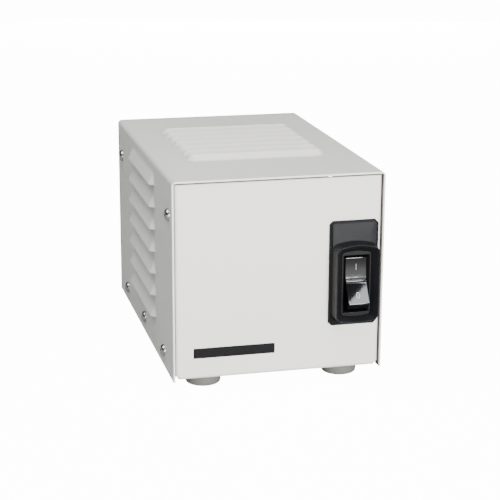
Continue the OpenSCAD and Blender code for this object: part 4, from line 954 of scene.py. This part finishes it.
# %% Leads
switch_ends = {"upper": (45, -54.948, 70.5), "lower": (45, -54.948, 52.5)}
inlet_ends = {"neutral": (27, 70.052, 32.5), "live": (41, 70.052, 32.5), "earth": (34, 70.052, 36.5)}
coil_out, coil_top, coil_front, coil_rear = 33.74, 84.2, -33.55, 2.45
screw_y, screw_z = 92.08, 78.35
routes = {
    "live_lead": [inlet_ends["live"], (41, 58, 32.5), (52, 52, 30), (54, 20, 28), (54, -20, 34), (45, -42, 52.5),
                  switch_ends["lower"]],
    "neutral_lead": [inlet_ends["neutral"], (27, 60, 32.5), (29, 52, 60), (40, 48, 92), (40, 18, 100),
                     (coil_out, coil_rear, 98), (coil_out, coil_rear, coil_top)],
    "switched_lead": [switch_ends["upper"], (45, -44, 70.5), (46, -46, 92), (40, -38, 100),
                      (coil_out, coil_front, 96), (coil_out, coil_front, coil_top)],
    "outlet_live_lead": [(-51.4, screw_y, screw_z), (-56, screw_y, 78), (-54, 66, 84), (-48, 36, 98), (-40, 0, 104),
                         (-coil_out, coil_front, 98), (-coil_out, coil_front, coil_top)],
    "outlet_neutral_lead": [(-12.6, screw_y, screw_z), (-6, screw_y, 78), (-4, 64, 92), (-20, 48, 106),
                            (-36, 28, 106), (-coil_out, coil_rear, 98), (-coil_out, coil_rear, coil_top)],
    "inlet_earth_lead": [inlet_ends["earth"], (34, 60, 36.5), (24, 60, 14), (26, 75.152, 10.9), (39.8, 75.152, 10.9)],
    "outlet_earth_lead": [(51.5, 86.852, 11.75), (51.5, 95, 12), (30, 95, 12), (-10, 94, 12), (-32, 92, 14),
                          (-32, 88, 20), (-32, 88, 30.9)],
}
arc_steps = 8


def softened(route):
    """The route with a smooth arc in each corner, in metres."""
    points = [Vector(point) * mm for point in route]
    path = [points[0]]
    for i in range(1, len(points) - 1):
        a = points[0] if i == 1 else (points[i - 1] + points[i]) / 2
        c = points[-1] if i == len(points) - 2 else (points[i] + points[i + 1]) / 2
        for t in (k / arc_steps for k in range(1, arc_steps + 1)):
            path.append(a * (1 - t) ** 2 + points[i] * 2 * t * (1 - t) + c * t * t)
    return path


for node, route in routes.items():
    mesh = grow(tube, {"Finish": finishes[slots[node]]}, softened(route))
    stand_in(node + "_insulated", mesh, node, weld=0.0005)

# %% [markdown]
# Low on the front panel there is a plain dark bar, printed: a thin slab with slightly round corners, sunk a
# little into the paint.

# %% Printed bar
printed_black = finish("printed_black", (0.005, 0.005, 0.0055), 0.6, grain_size=0.2, depth=0.002, specular=0.1)
bar_half_w, bar_half_h, bar_corner, bar_sunk, bar_raised = 24.5, 3.1, 0.3, 0.1, 0.04
bar_middle = (-26.7 * mm, 23.1 * mm)
cx, cz = bar_half_w - bar_corner, bar_half_h - bar_corner
bar_outline = [point for x, z, a0 in ((cx, cz, 0), (-cx, cz, 90), (-cx, -cz, 180), (cx, -cz, 270))
               for point in rounded(x, z, bar_corner, a0, a0 + 90, 3)]
bar_levels = [(panel_y + bar_sunk, bar_outline), (panel_y - bar_raised, bar_outline)]
bar_mesh = upright("bar", bar_levels, bar_middle, closed=False)
hand_over(settle("printed_bar", bar_mesh, weld=0.001, sharp=20), "case_paint", look=printed_black)

# %% [markdown]
# The inlet, the duplex outlet, the mounting angles and the bobbin are moulded or pressed. Knife edges catch no
# light, so each gets a welded copy with a fine bevel, small on thin metal and larger on moulded plastic.

# %% Moulded and pressed pieces
for name, node, bevel in (
    ("inlet_moulding", "inlet_body", 0.3), ("outlet_face_moulding", "outlet_face", 0.25),
    ("outlet_base_moulding", "outlet_base", 0.3), ("outlet_strap_pressing", "outlet_strap", 0.15),
    ("left_angle_pressing", "mounting_angle_left", 0.25), ("right_angle_pressing", "mounting_angle_right", 0.25),
    ("bobbin_moulding", "coil_bobbin", 0.2),
    ("inlet_pin_bars", "inlet_pins", 0.15), ("outlet_contact_bars", "outlet_contacts", 0.1),
    ("outlet_earth_bar", "outlet_earth_contact", 0.1), ("push_on_sleeves", "push_on_connectors", 0.12),
    ("switch_tabs", "switch_terminals", 0.1), ("earth_ring_tags", "earth_rings", 0.1),
):
    welded(name, node, bevel=bevel, bevel_angle=35)

# %% [markdown]
# Bolts, nuts, washers and screws are stock parts. Turned and rolled steel has broken edges too, so each set gets
# a very fine bevel.

# %% Stock fasteners
for node in ("foot_screws", "foot_nuts", "core_bolts", "core_washers", "core_nuts", "mounting_screws",
             "mounting_nuts", "inlet_screws", "inlet_nuts", "outlet_screws", "outlet_terminal_screws",
             "earth_stud", "earth_nut"):
    welded(node + "_stock", node, bevel=0.08, bevel_angle=35)

# %% [markdown]
# The core is a stack of thin E and I sheets, because solid iron would run hot from currents of its own. The
# sheets go in by packets, every second one turned over, so that the joints don't line up. One E and one I are
# drawn, and a Geometry Nodes tree stacks them, each sheet a hair out of line, as in a hand-stacked core.

# %% Tree: packets of sheets
packets, given, result = group("packets_of_sheets", {
    "Sheet": OBJECT, "Packets": 6, "Sheets": 16, "Packet pitch": 50 / 6 * mm, "Sheet pitch": 0.52 * mm,
    "Margin": 0.03 * mm, "Unevenness": 0.06 * mm, "Seed": 7, "Finish": MATERIAL})
line = packets.add("GeometryNodeMeshLine", {"Count": given["Packets"] * given["Sheets"]})
number = packets.add("GeometryNodeInputIndex")
packet = packets.calc("FLOOR", (number + 0.5) / given["Sheets"])
in_packet = number - packet * given["Sheets"]
first = given["Packets"] * given["Packet pitch"] * -0.5 + given["Margin"]
along = first + (packet * given["Packet pitch"] + in_packet * given["Sheet pitch"])
chance = packets.add("FunctionNodeRandomValue", {"Seed": given["Seed"]}, out=random_value, data_type="FLOAT")
stand_at = packets.vector(along, (chance - 0.5) * given["Unevenness"])
packets.build(given, result, packets.add("GeometryNodeInstanceOnPoints", {
    "Points": packets.add("GeometryNodeSetPosition", {"Geometry": line, "Position": stand_at}),
    "Instance": packets.add("GeometryNodeObjectInfo", {"Object": given["Sheet"]}, out="Geometry",
                            transform_space="ORIGINAL"),
    "Rotation": packets.vector(packets.calc("MODULO", packet, 2.0) * math.pi)}))

# %% Core sheets
leg, yoke, window, bolt_in, bolt_r, bolt_hole_sides, sheet_thick = 36.0, 18.0, 54.0, 9.0, 3.2, 12, 0.48
core_half_l, core_half_h = leg * 1.5, leg * 1.25
core_middle = Vector((0, -15.548, 57.4)) * mm


def cut_sheet(outline, bolt_height):
    """A thin sheet with two bolt holes; the outline is in Y and Z about the core's middle, in millimetres."""
    work = bmesh.new()
    holes = [[(side * (core_half_l - bolt_in) + bolt_r * math.cos(a), bolt_height + bolt_r * math.sin(a))
              for a in around(bolt_hole_sides)] for side in (-1, 1)]
    edges = []
    for points in [outline] + holes:
        corners = [work.verts.new((0, y * mm, z * mm)) for y, z in points]
        edges += [work.edges.new((corners[i - 1], corners[i])) for i in range(len(corners))]
    bmesh.ops.triangle_fill(work, use_beauty=True, use_dissolve=False, edges=edges)
    grown_up = bmesh.ops.extrude_face_region(work, geom=work.faces[:])["geom"]
    bmesh.ops.translate(work, verts=[v for v in grown_up if isinstance(v, bmesh.types.BMVert)],
                        vec=(sheet_thick * mm, 0, 0))
    bmesh.ops.recalc_face_normals(work, faces=work.faces)
    return linked("one_sheet", mesh_of(work, "one_sheet"))


base, shoulder, tips = -core_half_h, yoke - core_half_h, yoke + window - core_half_h
half_leg, inner = leg / 2, core_half_l - yoke
e_outline = [(-core_half_l, base), (core_half_l, base), (core_half_l, tips), (inner, tips), (inner, shoulder),
             (half_leg, shoulder), (half_leg, tips), (-half_leg, tips), (-half_leg, shoulder), (-inner, shoulder),
             (-inner, tips), (-core_half_l, tips)]
i_outline = [(-core_half_l, tips), (core_half_l, tips), (core_half_l, core_half_h), (-core_half_l, core_half_h)]
for node, outline, bolt_height in (("e_laminations", e_outline, base + bolt_in),
                                   ("i_laminations", i_outline, core_half_h - bolt_in)):
    sheet = cut_sheet(outline, bolt_height)
    mesh = grow(packets, {"Sheet": sheet, "Finish": finishes[slots[node]]})
    bpy.data.objects.remove(sheet)
    mesh.transform(Matrix.Translation(core_middle))
    stand_in(node + "_stacked", mesh, node, weld=0.0001, sharp=20, outwards=False)

# %% [markdown]
# From outside a winding is a row of round ridges, one for each turn of wire, so its section is a tall block with
# a rippled outer side. A Geometry Nodes tree carries it round the bobbin along a rectangle with round corners.
# The screen between the windings and the tape around them are plain bands, made by the same tree.

# %% Tree: a section carried round the bobbin
coil, given, result = group("section_round_bobbin", {
    "Section": GEOMETRY, "Width": 53.6 * mm, "Length": 39.6 * mm, "Corner": 1 * mm, "Corner steps": 6,
    "Finish": MATERIAL})
path = coil.add("GeometryNodeCurvePrimitiveQuadrilateral", {"Width": given["Width"], "Height": given["Length"]})
eased = coil.add("GeometryNodeFilletCurve", {
    "Curve": path, "Radius": given["Corner"], "Count": given["Corner steps"]}, mode="POLY")
section_points = coil.add("GeometryNodeMeshToPoints", {"Mesh": given["Section"]})
section_line = coil.add("GeometryNodePointsToCurves", {"Points": section_points})
coil.build(given, result, coil.add("GeometryNodeCurveToMesh", {
    "Curve": coil.add("GeometryNodeSetCurveNormal", {"Curve": eased}, mode="Z_UP"),
    "Profile Curve": coil.add("GeometryNodeSetSplineCyclic", {"Geometry": section_line, "Cyclic": True})}))

# %% Windings, screen and tape
coil_low, coil_high, wire_r, groove = 32.4, 82.4, 0.6, 0.28
turn_count = int((coil_high - coil_low) / (2 * wire_r))
turn_pitch = (coil_high - coil_low) / turn_count
# Places along one turn, and the share of the groove's depth there
ripple = ((0.02, 1), (0.2, 0.3), (0.5, 0), (0.8, 0.3), (0.98, 1))


def band(inside, outside, ripples):
    """The section of a band from its inner to its outer face, counted from the tube; ripples for the turns."""
    outer = [(outside, coil_low), (outside, coil_high)]
    if ripples:
        outer = [(outside - drop * groove, coil_low + (k + t) * turn_pitch)
                 for k in range(turn_count) for t, drop in ripple]
    return [(inside, coil_low)] + outer + [(inside, coil_high)]


tube_half_x, tube_half_y, coil_corner = 26.8, 19.8, 2.5
previous = 0.0
for name, node, ripples in (("primary_turns", "primary_winding", True), ("screen_band", "winding_screen", False),
                            ("secondary_turns", "secondary_winding", True), ("tape_band", "coil_wrap", False)):
    low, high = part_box(node)
    outside = (high.x - low.x) / 2 / mm - tube_half_x
    section = [(reach * mm, -height * mm, 0) for reach, height in band(previous, outside, ripples)]
    mesh = grow(coil, {"Width": 2 * tube_half_x * mm, "Length": 2 * tube_half_y * mm, "Corner": coil_corner * mm,
                       "Finish": finishes[slots[node]]}, section)
    mesh.transform(Matrix.Translation((core_middle.x, core_middle.y, 0)))
    stand_in(name, mesh, node, weld=0.001, sharp=50)
    previous = outside
